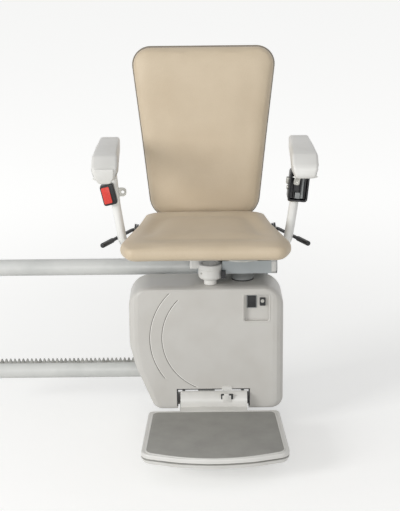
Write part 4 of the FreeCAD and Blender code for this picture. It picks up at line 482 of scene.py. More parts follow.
@dataclass(frozen=True)
class Nylon(Finish):
    """Cast nylon: off-white, waxy and slightly see-into, with turning rings and grey running marks."""

    def material(self) -> bpy.types.Material:
        """Builds the material."""
        material, tree, shader, where = self.begin()
        # Running marks about 14 mm long.
        wear = self.clouded(tree, shader, where, 14, (0.45, 0.8), Detail=5.0, Roughness=0.7)
        self.rough_drift(tree, shader, wear, 0.08)
        fine = add_node(
            tree, "ShaderNodeTexNoise", {"Scale": per_metre(1.0), "Detail": 2.0}, {"Vector": where}
        )
        self.bumped(tree, shader, fine.outputs["Fac"], 0.03, 0.3)
        shader.inputs["Subsurface Weight"].default_value = 0.1
        shader.inputs["Subsurface Radius"].default_value = (0.002, 0.002, 0.002)
        return material


@dataclass(frozen=True)
class BirchPly(Finish):
    """Birch plywood: pale veneers with darker glue lines on the edge and a lengthwise grain on the face."""

    ply_mm: float = 2.4

    def material(self) -> bpy.types.Material:
        """Builds the material."""
        material, tree, shader, where = self.begin()
        # Veneers are 1.2 mm thick; a light and a dark one make a band of 2.4 mm.
        plies = add_node(
            tree, "ShaderNodeTexWave", {"Scale": per_metre(self.ply_mm) / 20, "Distortion": 0.6, "Detail": 1.0},
            {"Vector": where}, wave_type="BANDS", bands_direction="Z",
        )
        stretch = add_node(tree, "ShaderNodeMapping", {"Scale": (1.0, 9.0, 1.0)}, {"Vector": where})
        # Grain lines: 25 mm long, under 3 mm wide.
        grain = add_node(
            tree, "ShaderNodeTexNoise", {"Scale": per_metre(25), "Detail": 5.0, "Roughness": 0.6},
            {"Vector": stretch.outputs[0]},
        )
        both = add_node(
            tree, "ShaderNodeMath", {}, {0: plies.outputs["Fac"], 1: grain.outputs["Fac"]}, operation="MULTIPLY"
        )
        self.tinted(tree, shader, both.outputs[0])
        self.rough_drift(tree, shader, grain.outputs["Fac"], 0.08)
        self.bumped(tree, shader, grain.outputs["Fac"], 0.05, 0.3)
        return material


@dataclass(frozen=True)
class CircuitBoard(Finish):
    """Solder-masked glass-epoxy board: green lacquer over copper runs."""

    def material(self) -> bpy.types.Material:
        """Builds the material."""
        material, tree, shader, where = self.begin()
        # Copper runs 1.2 mm wide on a 4 mm pitch, turned at blocks.
        runs = add_node(
            tree, "ShaderNodeTexBrick",
            {"Scale": per_metre(4.0) / 2, "Mortar Size": 0.12, "Color1": (0, 0, 0, 1), "Color2": (0, 0, 0, 1),
             "Mortar": (1, 1, 1, 1)},
            {"Vector": where},
        )
        self.tinted(tree, shader, runs.outputs["Color"])
        self.bumped(tree, shader, runs.outputs["Color"], 0.04, 0.5)
        shader.inputs["Coat Weight"].default_value = 0.4
        return material


# Colours are the photograph's, read where each surface faces the light.
RAIL_COAT = PowderCoat("rail_powder_coat_light_grey", Slot.RAIL_PAINT, "D3D4D1", 0.36, "BFC1BE")
FRAME_COAT = PowderCoat("frame_powder_coat_silver_grey", Slot.FRAME_PAINT, "AEB4B5", 0.38, "9EA4A6")
DARK_COAT = PowderCoat("bracket_powder_coat_graphite", Slot.DARK_PAINT, "3A3B3D", 0.42, "2C2D2F", 1.8)
WHITE_COAT = PowderCoat("arm_powder_coat_white", Slot.WHITE_PAINT, "EFEFEC", 0.3, "E2E2DF")
CASING_ABS = GroovedCasing("casing_abs_warm_grey", Slot.CASING_PLASTIC, "CBC9C4", 0.38, "C4C1BB")
WHITE_ABS = MouldedPlastic("trim_abs_white", Slot.WHITE_PLASTIC, "E0DFDB", 0.34, "D3D2CD", 0.9, 0.02)
BLACK_ABS = MouldedPlastic("belt_abs_black", Slot.BLACK_PLASTIC, "17171A", 0.34, "0F0F11", 0.9, 0.03)
GREY_ABS = MouldedPlastic("cap_abs_mid_grey", Slot.GREY_PLASTIC, "8D9090", 0.42, "7C7F7F")
RED_ABS = MouldedPlastic("button_abs_red", Slot.RED_PLASTIC, "E8463A", 0.32, "D33A30", 0.9, 0.02)
BLACK_RUBBER = Rubber("boot_rubber_black", Slot.RUBBER_BLACK, "2E2E30", 0.72, "242426")
GREY_MAT = Rubber("step_mat_rubber_grey", Slot.MAT_RUBBER, "A3A29D", 0.78, "989792", 2.4, 0.14)
ZINC_STEEL = BareSteel("zinc_plated_steel", Slot.STEEL, "B9B8B2", 0.38, "96958F")
RACK_STEEL = BareSteel("milled_rack_steel", Slot.RACK_STEEL, "A3A39F", 0.42, "7B7A76")
ROLLER_NYLON = Nylon("roller_nylon_cast", Slot.ROLLER_NYLON, "E4E1D6", 0.42, "C6C2B6")
COVER_VINYL = Leatherette("seat_cover_leatherette_beige", Slot.UPHOLSTERY, "CFBFA6", 0.5, "C0AE93")
SHELL_ABS = MouldedPlastic("back_shell_abs_taupe", Slot.SHELL_PLASTIC, "8C8375", 0.46, "7C7366", 1.4, 0.05)
BOARD_LACQUER = CircuitBoard("control_board_green_lacquer", Slot.BOARD_GREEN, "1E5A38", 0.3, "3B8358")
BATTERY_ABS = MouldedPlastic("battery_case_abs_graphite", Slot.BATTERY_CASE, "3C3F44", 0.5, "303338", 1.4, 0.05)
SEAT_PLY = BirchPly("seat_board_birch_ply", Slot.BOARD_WOOD, "D9BE93", 0.55, "A98659")

ALL_FINISHES = (
    RAIL_COAT, FRAME_COAT, DARK_COAT, WHITE_COAT, CASING_ABS, WHITE_ABS, BLACK_ABS, GREY_ABS, RED_ABS,
    BLACK_RUBBER, GREY_MAT, ZINC_STEEL, RACK_STEEL, ROLLER_NYLON, COVER_VINYL, SHELL_ABS, BOARD_LACQUER,
    BATTERY_ABS, SEAT_PLY,
)


class Paintshop:
    """Builds each finish once and dresses pieces with it."""

    def __init__(self) -> None:
        """Makes every material."""
        self.materials = {finish.slot: finish.material() for finish in ALL_FINISHES}

    def paint(self, obj: bpy.types.Object, slot: Slot) -> bpy.types.Object:
        """Dresses a new piece with its slot's finish."""
        obj.data.materials.clear()
        obj.data.materials.append(self.materials[slot])
        return obj

    def paint_frame(self, nodes: dict[str, bpy.types.Object]) -> None:
        """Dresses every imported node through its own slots."""
        by_name = {slot.value: slot for slot in Slot}
        for node in nodes.values():
            for place in node.material_slots:
                slot = by_name[place.material.name.split(".")[0]]
                place.material = self.materials[slot]


class Workpiece:
    """A piece on the bench: a bmesh in millimetres that ends as one object in metres."""

    def __init__(self, name: str) -> None:
        """Starts an empty piece."""
        self.name = name
        self.mesh = bmesh.new()

    def plate(self, corners: Iterable[Point], along: Point, corner_r: float = 0.0, steps: int = 5) -> Verts:
        """Pushes a flat outline along a vector.

        Args:
            corners: the outline's corners, each a point.
            along: the direction and depth.
            corner_r: radius of all corners.
            steps: segments of a rounded corner.

        Returns:
            The new vertices.
        """
        before = set(self.mesh.verts)
        verts = [self.mesh.verts.new(Vector(c)) for c in corners]
        face = self.mesh.faces.new(verts)
        if corner_r > 0:
            bmesh.ops.bevel(
                self.mesh, geom=verts, offset=corner_r, offset_type="OFFSET", affect="VERTICES",
                segments=steps, profile=0.5, material=-1,
            )
            face = next(f for f in self.mesh.faces if not set(f.verts) & before)
        made = bmesh.ops.extrude_face_region(self.mesh, geom=[face])
        top = [g for g in made["geom"] if isinstance(g, bmesh.types.BMVert)]
        bmesh.ops.translate(self.mesh, verts=top, vec=Vector(along))
        new = [v for v in self.mesh.verts if v not in before]
        faces = {f for v in new for f in v.link_faces}
        bmesh.ops.recalc_face_normals(self.mesh, faces=list(faces))
        return new

    def picture_frame(
        self, corners: Iterable[Point], along: Point, corner_r: float, bands: Sequence[tuple[float, float]],
        steps: int = 5,
    ) -> Verts:
        """Makes a flat ring with a shaped front.

        Args:
            corners: the outline's corners, each a point.
            along: the direction and height of the outer wall.
            corner_r: radius of the outline's corners.
            bands: width and rise of each band of the front, from the outline inwards.
            steps: segments of a rounded corner.

        Returns:
            The new vertices.
        """
        before = set(self.mesh.verts)
        new = self.plate(corners, along, corner_r, steps)
        way = Vector(along).normalized()
        faces = {f for v in new for f in v.link_faces}
        front = max(faces, key=lambda f: f.calc_center_median().dot(way))
        back = min(faces, key=lambda f: f.calc_center_median().dot(way))
        for width, rise in bands:
            bmesh.ops.inset_region(self.mesh, faces=[front], thickness=width, depth=rise, use_even_offset=True)
        whole = sum(width for width, _ in bands)
        bmesh.ops.inset_region(self.mesh, faces=[back], thickness=whole, depth=0.0, use_even_offset=True)
        rims = list(front.edges) + list(back.edges)
        bmesh.ops.delete(self.mesh, geom=[front, back], context="FACES_ONLY")
        bmesh.ops.bridge_loops(self.mesh, edges=rims)
        new = [v for v in self.mesh.verts if v not in before]
        bmesh.ops.recalc_face_normals(self.mesh, faces=list({f for v in new for f in v.link_faces}))
        return new

    def block(self, low: Point, high: Point) -> Verts:
        """A cuboid between two corners."""
        size = Vector(high) - Vector(low)
        centre = (Vector(high) + Vector(low)) / 2
        matrix = Matrix.Translation(centre) @ Matrix.Diagonal((*size, 1.0))
        return bmesh.ops.create_cube(self.mesh, size=1.0, matrix=matrix)["verts"]

    def turned(self, profile: Iterable[Point], centre: Point, axis: Point, steps: int = 32) -> Verts:
        """Spins a profile a full turn.

        Args:
            profile: points of the profile.
            centre: a point on the axis.
            axis: the axis' direction.
            steps: segments round.

        Returns:
            The new vertices.
        """
        before = set(self.mesh.verts)
        verts = [self.mesh.verts.new(Vector(p)) for p in profile]
        edges = [self.mesh.edges.new(pair) for pair in zip(verts, verts[1:])]
        bmesh.ops.spin(
            self.mesh, geom=verts + edges, cent=Vector(centre), axis=Vector(axis).normalized(),
            angle=math.tau, steps=steps, use_merge=True,
        )
        new = [v for v in self.mesh.verts if v not in before]
        bmesh.ops.remove_doubles(self.mesh, verts=new, dist=0.001)
        new = [v for v in self.mesh.verts if v not in before]
        bmesh.ops.recalc_face_normals(self.mesh, faces=list({f for v in new for f in v.link_faces}))
        return new

    def rod(self, start: Point, end: Point, radius: float, steps: int = 24) -> Verts:
        """A round bar between two points."""
        start, end = Vector(start), Vector(end)
        turn = (end - start).to_track_quat("Z", "Y").to_matrix().to_4x4()
        matrix = Matrix.Translation((start + end) / 2) @ turn
        return bmesh.ops.create_cone(
            self.mesh, cap_ends=True, segments=steps, radius1=radius, radius2=radius,
            depth=(end - start).length, matrix=matrix,
        )["verts"]

    def edges_of(self, verts: Verts, keep: Callable[[bmesh.types.BMEdge], bool] | None = None) -> Edges:
        """The edges among some vertices, all or those that keep allows."""
        inside = set(verts)
        edges = {e for v in verts for e in v.link_edges if e.verts[0] in inside and e.verts[1] in inside}
        return [e for e in edges if keep is None or keep(e)]

    def sharp(self, verts: Verts, degrees: float = 30.0) -> Edges:
        """The edges among some vertices that turn by more than an angle."""
        limit = math.radians(degrees)
        return self.edges_of(verts, lambda e: len(e.link_faces) == 2 and e.calc_face_angle(0.0) > limit)

    def soften(self, edges: Edges, radius: float, steps: int = 3) -> None:
        """Rounds edges."""
        bmesh.ops.bevel(
            self.mesh, geom=edges, offset=radius, offset_type="OFFSET", affect="EDGES", segments=steps,
            profile=0.5, material=-1, clamp_overlap=True,
        )

    def eased(self, verts: Verts, radius: float, steps: int = 2, degrees: float = 30.0) -> Verts:
        """Rounds the edges that turn by more than an angle among some vertices."""
        self.soften(self.sharp(verts, degrees), radius, steps)
        return verts

    def ease_all(self, radius: float, steps: int = 2, degrees: float = 60.0) -> None:
        """Rounds the whole piece's edges that turn by more than an angle."""
        self.eased(list(self.mesh.verts), radius, steps, degrees)

    def bar(self, low: Point, high: Point, radius: float, steps: int = 2) -> None:
        """A cuboid with rounded edges."""
        self.eased(self.block(low, high), radius, steps)

    def turn(self, verts: Verts, centre: Point, axis: str, degrees: float) -> None:
        """Turns vertices about an axis through a point."""
        bmesh.ops.rotate(
            self.mesh, verts=verts, cent=Vector(centre), matrix=Matrix.Rotation(math.radians(degrees), 3, axis)
        )

    def finish(self, body: str, shop: Paintshop, slot: Slot, sharp_above: float = 32.0) -> bpy.types.Object:
        """Ends the work.

        Args:
            body: the body that the piece rides on.
            shop: the paintshop.
            slot: the finish's slot.
            sharp_above: edges that turn by more than this stay crisp.

        Returns:
            The piece, at the origin, in metres.
        """
        bmesh.ops.scale(self.mesh, vec=(MM, MM, MM), verts=self.mesh.verts)
        for face in self.mesh.faces:
            face.smooth = True
        limit = math.radians(sharp_above)
        for edge in self.mesh.edges:
            edge.smooth = len(edge.link_faces) == 2 and edge.calc_face_angle(0.0) < limit
        data = bpy.data.meshes.new(self.name)
        self.mesh.to_mesh(data)
        self.mesh.free()
        obj = linked(self.name, data)
        shop.paint(obj, slot)
        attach(obj, body)
        return obj


def merged_copy(node: str, name: str) -> bpy.types.Object:
    """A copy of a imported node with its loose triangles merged.

    Args:
        node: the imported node.
        name: the copy's name.

    Returns:
        The copy, at the origin, not yet riding on a body.
    """
    mesh = bmesh.new()
    mesh.from_mesh(frame["nodes"][node].data)
    bmesh.ops.remove_doubles(mesh, verts=mesh.verts, dist=0.02 * MM)
    data = bpy.data.meshes.new(name)
    mesh.to_mesh(data)
    mesh.free()
    return linked(name, data)


def apply_modifiers(obj: bpy.types.Object) -> None:
    """Replaces an object's mesh by what its modifiers make of it."""
    graph = bpy.context.evaluated_depsgraph_get()
    data = bpy.data.meshes.new_from_object(obj.evaluated_get(graph))
    obj.modifiers.clear()
    obj.data = data


@dataclass
class Cushion:
    """A foam pad under a stretched cover, swollen by a short cloth run and capped."""

    node: str
    name: str
    body: str
    fill: float
    draw_in_mm: float = 2.0
    voxel_mm: float = 5.0
    cap_mm: float = 4.0
    pressure: float = 4.0
    frames: int = 20
    face_way: tuple[float, float, float] = (0.0, -1.0, 0.09)
    crown_rounds: int = 60
    lift_from: tuple[float, float] = (-330.0, -135.0)
    lift_mm: float = 0.0
    narrow: float = 0.0

    def make(self, shop: Paintshop) -> bpy.types.Object:
        """Builds, swells and dresses the cushion.

        Returns:
            The finished cushion.
        """
        obj = merged_copy(self.node, self.name)
        self.shrink(obj)
        remesh = obj.modifiers.new("even_faces", "REMESH")
        remesh.mode = "VOXEL"
        remesh.voxel_size = self.voxel_mm * MM
        apply_modifiers(obj)
        self.swell(obj)
        self.relax(obj, 4)
        self.crown(obj)
        divide = obj.modifiers.new("smooth_cover", "SUBSURF")
        divide.levels = 1
        divide.render_levels = 1
        apply_modifiers(obj)
        for face in obj.data.polygons:
            face.use_smooth = True
        shop.paint(obj, Slot.UPHOLSTERY)
        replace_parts(obj, self.node)
        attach(obj, self.body)
        return obj

    def shrink(self, obj: bpy.types.Object) -> None:
        """Draws the pad in along its normals, so that it can swell to size."""
        mesh = bmesh.new()
        mesh.from_mesh(obj.data)
        mesh.normal_update()
        moves = {v: v.normal * self.draw_in_mm * MM for v in mesh.verts}
        for vert, move in moves.items():
            vert.co -= move
        mesh.to_mesh(obj.data)
        mesh.free()

    def swell(self, obj: bpy.types.Object) -> None:
        """Inflates the cover with Cloth and caps how far any point moves."""
        rest = [(v.co.copy(), v.normal.copy()) for v in obj.data.vertices]
        cloth = obj.modifiers.new("cover", "CLOTH")
        cloth.settings.effector_weights.gravity = 0.0
        for setting, value in (
            ("use_pressure", True), ("uniform_pressure_force", self.pressure), ("quality", 6),
            ("tension_stiffness", 25), ("compression_stiffness", 25), ("bending_stiffness", 0.8),
        ):
            setattr(cloth.settings, setting, value)
        cloth.point_cache.frame_start = 1
        cloth.point_cache.frame_end = self.frames
        scene = bpy.context.scene
        for number in range(1, self.frames + 1):
            scene.frame_set(number)
        apply_modifiers(obj)
        scene.frame_set(1)
        cap = self.cap_mm * MM
        for vert, (start, outwards) in zip(obj.data.vertices, rest):
            swell = min(cap, max(0.0, (vert.co - start).dot(outwards)))
            vert.co = start + outwards * swell

    def crown(self, obj: bpy.types.Object) -> None:
        """Melts the face's inner step into one even crown and lifts the far end."""
        face_way = Vector(self.face_way).normalized()
        mesh = bmesh.new()
        mesh.from_mesh(obj.data)
        for _ in range(self.crown_rounds):
            mesh.normal_update()
            faced = [v for v in mesh.verts if v.normal.dot(face_way) > 0.86]
            self.smooth(mesh, faced)
        low_y, high_y = self.lift_from
        mesh.normal_update()
        for vert in mesh.verts:
            share = min(1.0, max(0.0, (vert.co.y / MM - low_y) / (high_y - low_y)))
            share = share * share * (3 - 2 * share)
            if self.lift_mm and vert.normal.z > -0.2:
                vert.co.z += self.lift_mm * MM * share
            vert.co.x *= 1 - self.narrow * share
        mesh.to_mesh(obj.data)
        mesh.free()

    @staticmethod
    def smooth(mesh: bmesh.types.BMesh, verts: Iterable[bmesh.types.BMVert]) -> None:
        """Moves vertices half way to their neighbours' middle."""
        bmesh.ops.smooth_vert(
            mesh, verts=verts, factor=0.5, use_axis_x=True, use_axis_y=True, use_axis_z=True
        )

    def relax(self, obj: bpy.types.Object, times: int) -> None:
        """Evens out the voxel steps."""
        mesh = bmesh.new()
        mesh.from_mesh(obj.data)
        for _ in range(times):
            self.smooth(mesh, mesh.verts)
        mesh.to_mesh(obj.data)
        mesh.free()


@dataclass
class PostBoots:
    """The rubber grommet on the casing and the flared collar under the carrier, round the seat post."""

    x: float = 105.0
    y: float = -102.0
    casing_top: float = 437.0
    grommet_r: float = 31.5
    post_r: float = 25.2
    collar_low: float = 440.0
    collar_high: float = 469.0
    collar_r: float = 47.5
    waist_r: float = 31.0

    def make(self, shop: Paintshop) -> None:
        """Builds both turnings."""
        place = Vector((self.x, self.y, 0.0))
        grommet = Workpiece("post_grommet")
        low, lip = self.casing_top, 2.5
        ring = [(self.post_r, low), (self.grommet_r, low), (self.grommet_r, low + lip - 0.8),
                (self.grommet_r - 1.2, low + lip), (self.post_r + 1.5, low + lip),
                (self.post_r, low + lip - 1.0)]
        grommet.turned(self.around(place, ring + ring[:1]), place, (0, 0, 1), 48)
        piece = grommet.finish("carriage", shop, Slot.RUBBER_BLACK, 40)
        collar = Workpiece("post_collar")
        low, high = self.collar_low, self.collar_high
        waist, edge = self.waist_r, self.collar_r
        flare = [(self.post_r, low), (waist, low), (waist + 0.6, low + 2), (waist, low + 4),
                 (waist + 1.5, low + 9), (waist + 5, low + 15), (edge - 4, low + 21), (edge, high - 5),
                 (edge, high - 1), (edge - 1, high), (self.post_r, high)]
        collar.turned(self.around(place, flare + flare[:1]), place, (0, 0, 1), 48)
        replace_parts(collar.finish("carriage", shop, Slot.GREY_PLASTIC, 40), "post_boots")
        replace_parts(piece, "post_boots")

    @staticmethod
    def around(place: Vector, profile: Iterable[tuple[float, float]]) -> list[Vector]:
        """Sets a profile of (radius, height) beside an upright axis."""
        return [place + Vector((r, 0.0, z)) for r, z in profile]


@dataclass
class InterlockDrum:
    """The white drum of the seat's interlock, with a ribbed cap, a seam, its boss and a set screw."""

    x: float = 13.0
    y: float = -150.0
    low: float = 452.0
    high: float = 498.0
    radius: float = 33.5
    boss_r: float = 18.0
    boss_low: float = 437.0

    def make(self, shop: Paintshop) -> None:
        """Builds the drum and its cap's ribs."""
        place = Vector((self.x, self.y, 0.0))
        r, low, high = self.radius, self.low, self.high
        drum = Workpiece("interlock_drum")
        profile = [(0, self.boss_low + 0.2), (self.boss_r - 1.5, self.boss_low + 0.2),
                   (self.boss_r, self.boss_low + 1.7), (self.boss_r, low - 2), (self.boss_r + 2, low),
                   (r - 10, low + 1.0), (r - 4, low + 3.5), (r - 1, low + 8), (r, low + 14), (r, high - 15),
                   (r - 0.9, high - 14.6), (r - 0.9, high - 13.4), (r, high - 13), (r, high - 3),
                   (r - 1, high - 1), (r - 3, high), (r - 8, high), (r - 9, high - 2), (0, high - 2)]
        drum.turned(PostBoots.around(place, profile), place, (0, 0, 1), 64)
        for offset in range(-18, 19, 6):
            half = math.sqrt(max(0.0, (r - 10) ** 2 - offset**2))
            middle = self.y + offset
            drum.bar((self.x - half, middle - 1.1, high - 3), (self.x + half, middle + 1.1, high - 0.6), 0.4)
        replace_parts(drum.finish("carriage", shop, Slot.WHITE_PLASTIC, 38), "interlock_housing")
        screw = Workpiece("interlock_set_screw")
        start = (self.x - r * 0.72, self.y - r * 0.69, high - 24)
        end = (self.x - r * 0.76, self.y - r * 0.74, high - 24)
        screw.eased(screw.rod(start, end, 2.6, 20), 0.4)
        screw.finish("carriage", shop, Slot.STEEL)


@dataclass
class ControlPanel:
    """The bezel round the switch recess and the rocker's frame and paddle."""

    left: float = 105.0
    right: float = 178.0
    bottom: float = 334.0
    top: float = 416.0
    corner_r: float = 7.0
    face: float = -185.0
    floor: float = -174.0
    rocker: tuple[float, float] = (128.5, 391.5)
    rocker_size: tuple[float, float] = (25.0, 35.0)

    def make(self, shop: Paintshop) -> None:
        """Builds the bezel, the rocker's frame and the paddle."""
        bezel = Workpiece("control_bezel")
        depth = 2.6
        corners = [
            (x, self.face + 0.2, z)
            for x, z in ((self.left - 3, self.bottom - 3), (self.right + 3, self.bottom - 3),
                         (self.right + 3, self.top + 3), (self.left - 3, self.top + 3))
        ]
        bands = ((3.2, 0.0), (depth, -depth - 1.0))
        ring = bezel.picture_frame(corners, (0, -1.0, 0), self.corner_r + 3, bands, 6)
        bezel.soften(bezel.sharp(ring, 34), 0.4, 2)
        bezel.finish("carriage", shop, Slot.CASING_PLASTIC, 50)
        self.make_rocker(shop)

    def make_rocker(self, shop: Paintshop) -> None:
        """Builds the grey frame on the recess floor and the black two-sloped paddle inside it."""
        x, z = self.rocker
        wide, tall = self.rocker_size
        paddle = Workpiece("isolator_paddle")
        paddle.block(
            (x - wide / 2 + 1.5, self.floor - 6, z - tall / 2 + 1.5),
            (x + wide / 2 - 1.5, self.floor + 2, z + tall / 2 - 1.5),
        )
        whole = [*paddle.mesh.verts, *paddle.mesh.edges, *paddle.mesh.faces]
        bmesh.ops.bisect_plane(
            paddle.mesh, geom=whole, plane_co=Vector((x, 0, z)), plane_no=Vector((0, 0, 1))
        )
        for vert in paddle.mesh.verts:
            if vert.co.y < self.floor - 5:
                vert.co.y += 2.6 if abs(vert.co.z - z) < 1 else (1.2 if vert.co.z < z else 0.0)
        paddle.ease_all(0.8, 3, 8)
        for step in range(-2, 3):
            height = z - 9 + step * 2.0
            paddle.bar((x - 6, self.floor - 5.0, height - 0.5), (x + 6, self.floor - 3.4, height + 0.5), 0.2)
        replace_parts(paddle.finish("isolator", shop, Slot.BLACK_PLASTIC, 40), "isolator_rocker")
        frame_piece = Workpiece("isolator_frame")
        corners = panel(x, z, wide / 2 + 1.5, tall / 2 + 1.5, self.floor + 0.1)
        frame_piece.plate(corners, (0, -1.8, 0), 2.0, 4)
        front = min(frame_piece.mesh.faces, key=lambda f: f.calc_center_median().y)
        bmesh.ops.inset_region(frame_piece.mesh, faces=[front], thickness=2.0, depth=0.0)
        bmesh.ops.inset_region(frame_piece.mesh, faces=[front], thickness=0.3, depth=-1.5)
        frame_piece.ease_all(0.3, 2, 40)
        frame_piece.finish("carriage", shop, Slot.GREY_PLASTIC, 40)


@dataclass
class Buckle:
    """The belt's buckle on the left arm: black body, red button, tongue slot and rivet."""

    x: float = -262.0
    z: float = 708.0
    front: float = -202.0
    depth: float = 26.0
    width: float = 38.0
    height: float = 58.0
    tilt: float = -13.0

    def make(self, shop: Paintshop) -> None:
        """Builds the body and the button, both leaning with the arm tube."""
        centre = (self.x, self.front + self.depth / 2, self.z)
        half_w, half_h = self.width / 2, self.height / 2
        body = Workpiece("buckle_case")
        corners = panel(self.x, self.z, half_w, half_h, self.front)
        body.plate(corners, (0, self.depth, 0), 7.0, 6)
        body.ease_all(3.0, 4)
        edge = self.x + half_w
        reach = half_h - 6
        body.bar(
            (edge - 13, self.front - 1.0, self.z - reach), (edge - 10.6, self.front + 3, self.z + reach), 0.8, 3
        )
        rivet = body.rod(
            (edge - 5.5, self.front - 0.8, self.z - 14), (edge - 5.5, self.front + 2, self.z - 14), 2.6, 20
        )
        body.eased(rivet, 0.5)
        body.turn(list(body.mesh.verts), centre, "Y", self.tilt)
        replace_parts(body.finish("seat", shop, Slot.BLACK_PLASTIC, 40), "buckle_body")
        button = Workpiece("buckle_press")
        left = self.x - half_w + 3.0
        corners = panel(left + 11, self.z, 11, half_h - 6, self.front + 2)
        button.plate(corners, (0, -4.5, 0), 3.0, 5)
        button.ease_all(1.2, 3)
        for step in range(5):
            low = self.z - 14 + step * 7
            button.bar((left + 5, self.front - 3.1, low - 0.8), (left + 17, self.front - 2, low + 0.8), 0.35)
        button.turn(list(button.mesh.verts), centre, "Y", self.tilt)
        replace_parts(button.finish("button", shop, Slot.RED_PLASTIC, 40), "buckle_button")


@dataclass
class Retractor:
    """The belt's reel on the right arm: an open black frame, its spool, plates, tongue and foot clamp."""

    x: float = 254.0
    z: float = 730.0
    front: float = -219.75
    depth: float = 46.0
    width: float = 54.0
    height: float = 84.0
    tilt: float = 6.0

    def make(self, shop: Paintshop) -> None:
        """Builds the frame and what shows inside it."""
        centre = (self.x, self.front + self.depth / 2, self.z)
        half_w, half_h = self.width / 2, self.height / 2
        case = Workpiece("retractor_case")
        corners = panel(self.x, self.z, half_w, half_h, self.front)
        case.plate(corners, (0, self.depth, 0), 9.0, 6)
        face = min(case.mesh.faces, key=lambda f: f.calc_center_median().y)
        bmesh.ops.inset_region(case.mesh, faces=[face], thickness=5.0, depth=0.0)
        bmesh.ops.inset_region(case.mesh, faces=[face], thickness=0.6, depth=-14.0)
        case.ease_all(1.6, 3)
        for side, wide in ((-13.0, 2.6), (4.0, 2.2), (15.5, 3.4)):
            left, reach = self.x + side, half_h - 8
            case.bar(
                (left, self.front + 2, self.z - reach), (left + wide, self.front + 15, self.z + reach), 0.7
            )
        case.turn(list(case.mesh.verts), centre, "Y", self.tilt)
        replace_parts(case.finish("seat", shop, Slot.BLACK_PLASTIC, 40), "retractor_housing")
        spool = Workpiece("retractor_spool")
        roll = (self.x + 10.5, self.front + 9)
        spool.eased(spool.rod((*roll, self.z - 30), (*roll, self.z + 33), 4.6, 28), 1.0, 3)
        for low, high, radius in (
            ((-8, 1.5, -34), (6, 12, -17), 1.4),
            ((7, 3.5, -33), (14, 12, -21), 1.2),
        ):
            corner = Vector((self.x, self.front, self.z))
            spool.bar(corner + Vector(low), corner + Vector(high), radius, 3)
        spool.turn(list(spool.mesh.verts), centre, "Y", self.tilt)
        spool.finish("seat", shop, Slot.GREY_PLASTIC, 40)
        foot = Workpiece("retractor_foot_clamp")
        under = (self.x - 8, -200.0)
        clamp = foot.rod((*under, self.z - half_h - 2.5), (*under, self.z - half_h + 3), 17.0, 40)
        foot.eased(clamp, 1.2, 3)
        edge = self.x - half_w
        foot.bar((edge - 7, -206, self.z + 2), (edge + 2, -190, self.z + 20), 2.0, 3)
        foot.bar((edge - 4, -204, self.z - 14), (edge + 2, -192, self.z - 3), 1.6, 3)
        foot.turn(list(foot.mesh.verts), centre, "Y", self.tilt)
        foot.finish("seat", shop, Slot.STEEL, 40)
        self.make_tongue(shop, centre)

    def make_tongue(self, shop: Paintshop, centre: Point) -> None:
        """Builds the pale tongue that hangs over the frame."""
        tongue = Workpiece("belt_tongue_plate")
        y = self.front - 1.0
        corners = panel(self.x - 9.0, self.z + 16, 8.0, 12.0, y)
        tongue.plate(corners, (0, -3.0, 0), 5.0, 5)
        for place in (max, min):
            face = place(tongue.mesh.faces, key=lambda f: f.calc_center_median().y)
            bmesh.ops.inset_region(tongue.mesh, faces=[face], thickness=4.4, depth=0.0)
            bmesh.ops.inset_region(tongue.mesh, faces=[face], thickness=0.3, depth=-1.2)
        tongue.ease_all(0.7)
        tongue.turn(list(tongue.mesh.verts), centre, "Y", self.tilt + 6)
        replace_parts(tongue.finish("seat", shop, Slot.STEEL, 40), "belt_tongue")


@dataclass
class DirectionToggle:
    """The U-shaped paddle that closes the nose of the left arm pad."""

    x: float = -258.0
    nose: float = -403.0
    low: float = 787.0
    high: float = 826.0
    half: float = 26.0

    def make(self, shop: Paintshop) -> None:
        """Builds the paddle and its pivot boss."""
        paddle = Workpiece("direction_paddle")
        y = self.nose - 0.6
        corners = [(self.x - self.half, y, self.high), (self.x - self.half + 2, y, self.low + 14),
                   (self.x - self.half + 11, y, self.low), (self.x + self.half - 11, y, self.low),
                   (self.x + self.half - 2, y, self.low + 14), (self.x + self.half, y, self.high)]
        paddle.plate(corners, (0, -7.0, 0), 5.0, 5)
        paddle.ease_all(3.4, 5)
        paddle.bar((self.x - 11, y - 2, self.low + 6), (self.x + 11, self.nose + 15, self.high - 5), 2.0, 3)
        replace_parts(paddle.finish("toggle", shop, Slot.WHITE_PLASTIC, 40), "direction_toggle")


